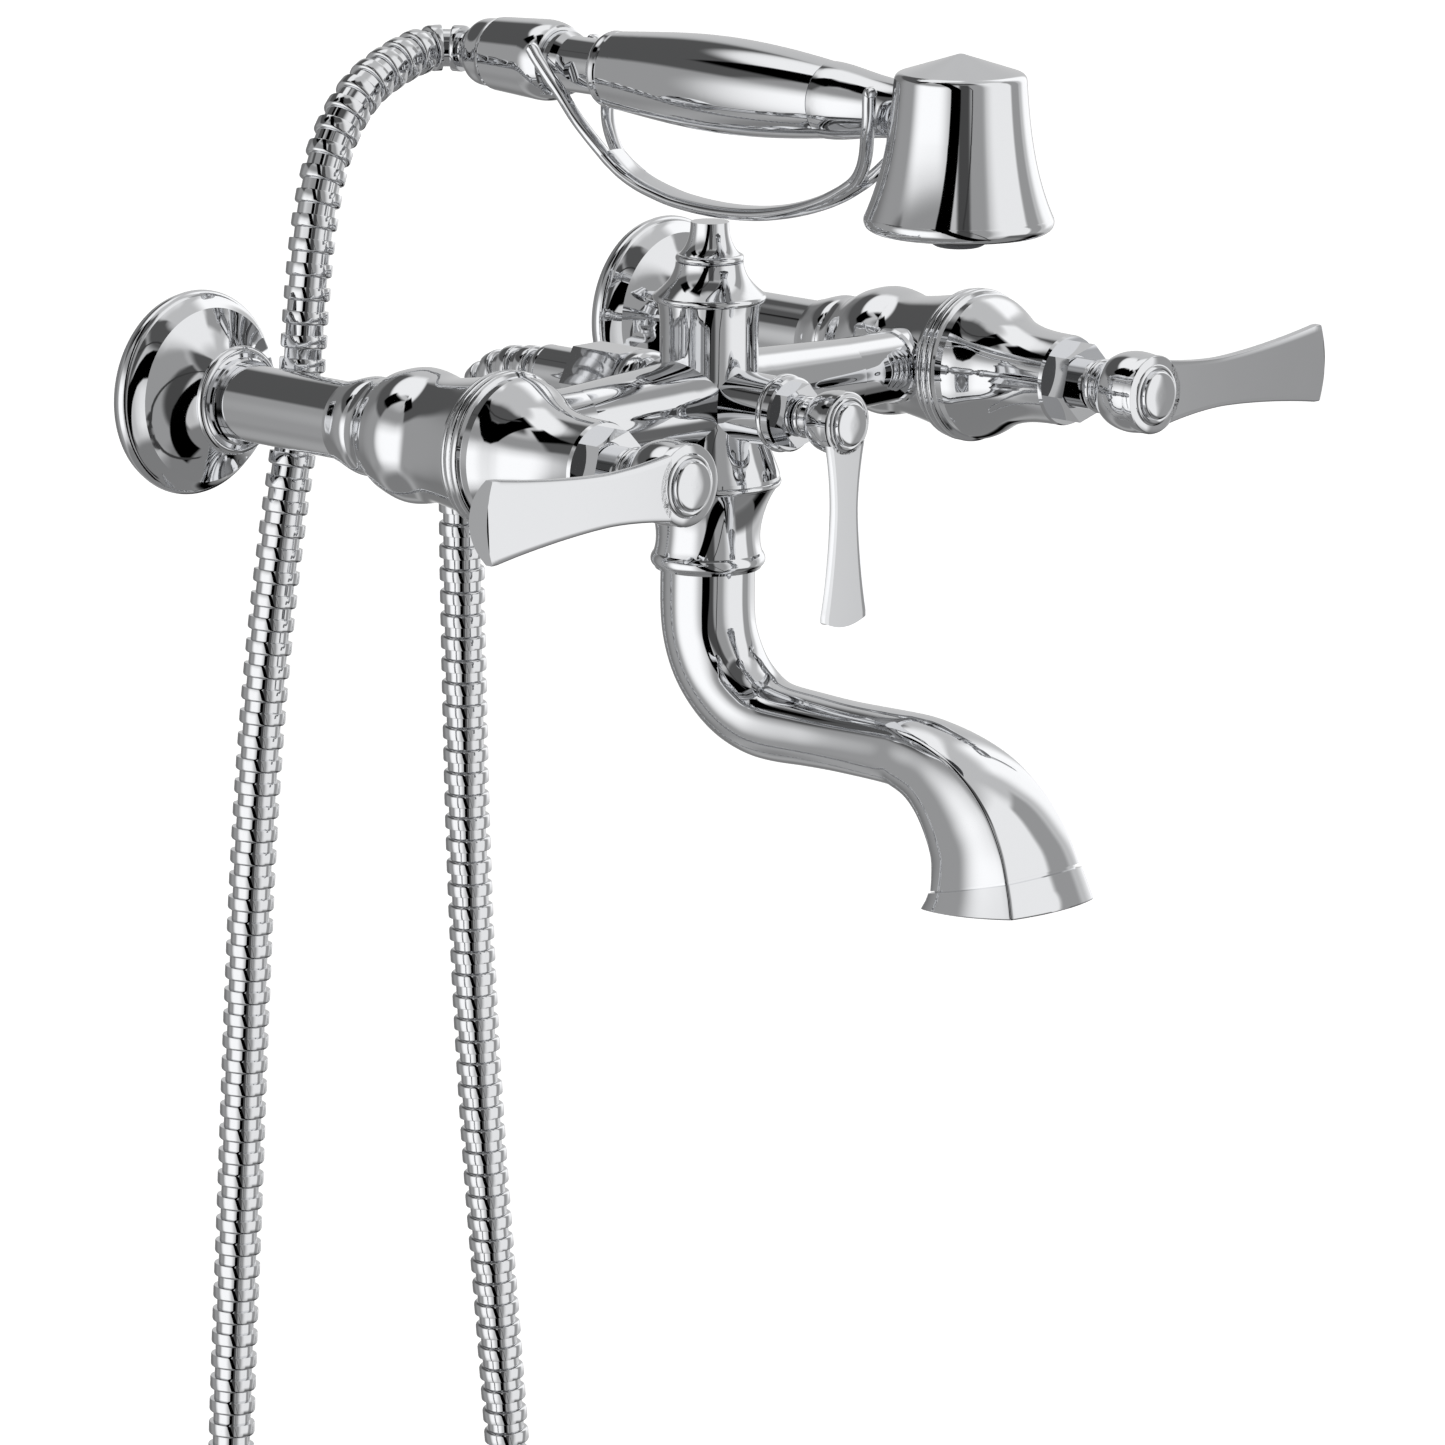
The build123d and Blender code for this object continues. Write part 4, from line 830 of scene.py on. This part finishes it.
def mask_from(tree, *limits):
    """1 where every value is past the far end of its range, 0 short of the near end, smooth between."""
    mask = 1.0
    for value, near_end, far_end in limits:
        links = {"Value": value, "From Min": near_end, "From Max": far_end}
        step = add(tree, "ShaderNodeMapRange", links, interpolation_type="SMOOTHSTEP").outputs["Result"]
        mask = add(tree, "ShaderNodeMath", {0: mask, 1: step}, operation="MULTIPLY").outputs["Value"]
    return mask


def panel_mask(tree, flat_way, height, turn, half, low, high, soft):
    """1 towards a panel and 0 away from it."""
    facing = CAMERA_SIDE + math.radians(turn)
    links = {0: flat_way, 1: (math.cos(facing), math.sin(facing), 0)}
    dot = add(tree, "ShaderNodeVectorMath", links, operation="DOT_PRODUCT").outputs["Value"]
    outer, inner = math.cos(math.radians(half + soft)), math.cos(math.radians(max(half - soft, 0)))
    over = height, sine(low - soft), sine(low + soft)
    under = height, sine(high + soft), sine(high - soft)
    return mask_from(tree, (dot, outer, inner), over, under)


def strip_mask(tree, way, turn, lean, half, soft):
    """1 on a tall strip that leans to one side as it rises."""
    facing, tilt = CAMERA_SIDE + math.radians(turn), math.radians(lean)
    towards = (math.cos(facing), math.sin(facing), 0)
    across = (-math.sin(facing) * math.cos(tilt), math.cos(facing) * math.cos(tilt), math.sin(tilt))
    front, side = (
        add(tree, "ShaderNodeVectorMath", {0: way, 1: direction}, operation="DOT_PRODUCT").outputs["Value"]
        for direction in (towards, across)
    )
    off = add(tree, "ShaderNodeMath", {0: side}, operation="ABSOLUTE").outputs["Value"]
    return mask_from(tree, (off, sine(half + soft), sine(half - soft)), (front, 0.0, 0.1))


def make_studio():
    """Soft light from all round, broken by grey and black panels that the chrome mirrors."""
    world = bpy.data.worlds.new("studio")
    world.use_nodes = True
    scene.world = world
    tree = world.node_tree
    tree.nodes.clear()
    way = add(tree, "ShaderNodeTexCoord").outputs["Generated"]
    height = add(tree, "ShaderNodeSeparateXYZ", {0: way}).outputs["Z"]
    flat = add(tree, "ShaderNodeVectorMath", {0: way, 1: (1, 1, 0)}, operation="MULTIPLY").outputs["Vector"]
    flat = add(tree, "ShaderNodeVectorMath", {0: flat}, operation="NORMALIZE").outputs["Vector"]
    covers = []
    for _, turn, half, low, high, bright, soft in STUDIO_PANELS:
        covers.append((panel_mask(tree, flat, height, turn, half, low, high, soft), bright))
    horizon = height, sine(GROUND_TOP + GROUND_SOFT), sine(GROUND_TOP - GROUND_SOFT)
    covers.append((mask_from(tree, horizon), GROUND_LEVEL))
    for _, turn, lean, half, bright, soft in STUDIO_STRIPS:
        covers.append((strip_mask(tree, way, turn, lean, half, soft), bright))
    level = OPEN_LEVEL
    for mask, bright in covers:
        level = add(tree, "ShaderNodeMix", {0: mask, 2: level, 3: bright}).outputs[0]
    studio = add(tree, "ShaderNodeBackground", {"Color": level, "Strength": STUDIO_STRENGTH})
    plain = add(tree, "ShaderNodeBackground", {"Color": from_hex("#ffffff")})
    seen = add(tree, "ShaderNodeLightPath").outputs["Is Camera Ray"]
    mixed = add(tree, "ShaderNodeMixShader", {0: seen, 1: studio.outputs[0], 2: plain.outputs[0]})
    add(tree, "ShaderNodeOutputWorld", {"Surface": mixed.outputs[0]})
    scene.view_settings.view_transform = "Standard"


make_floor()
make_studio()
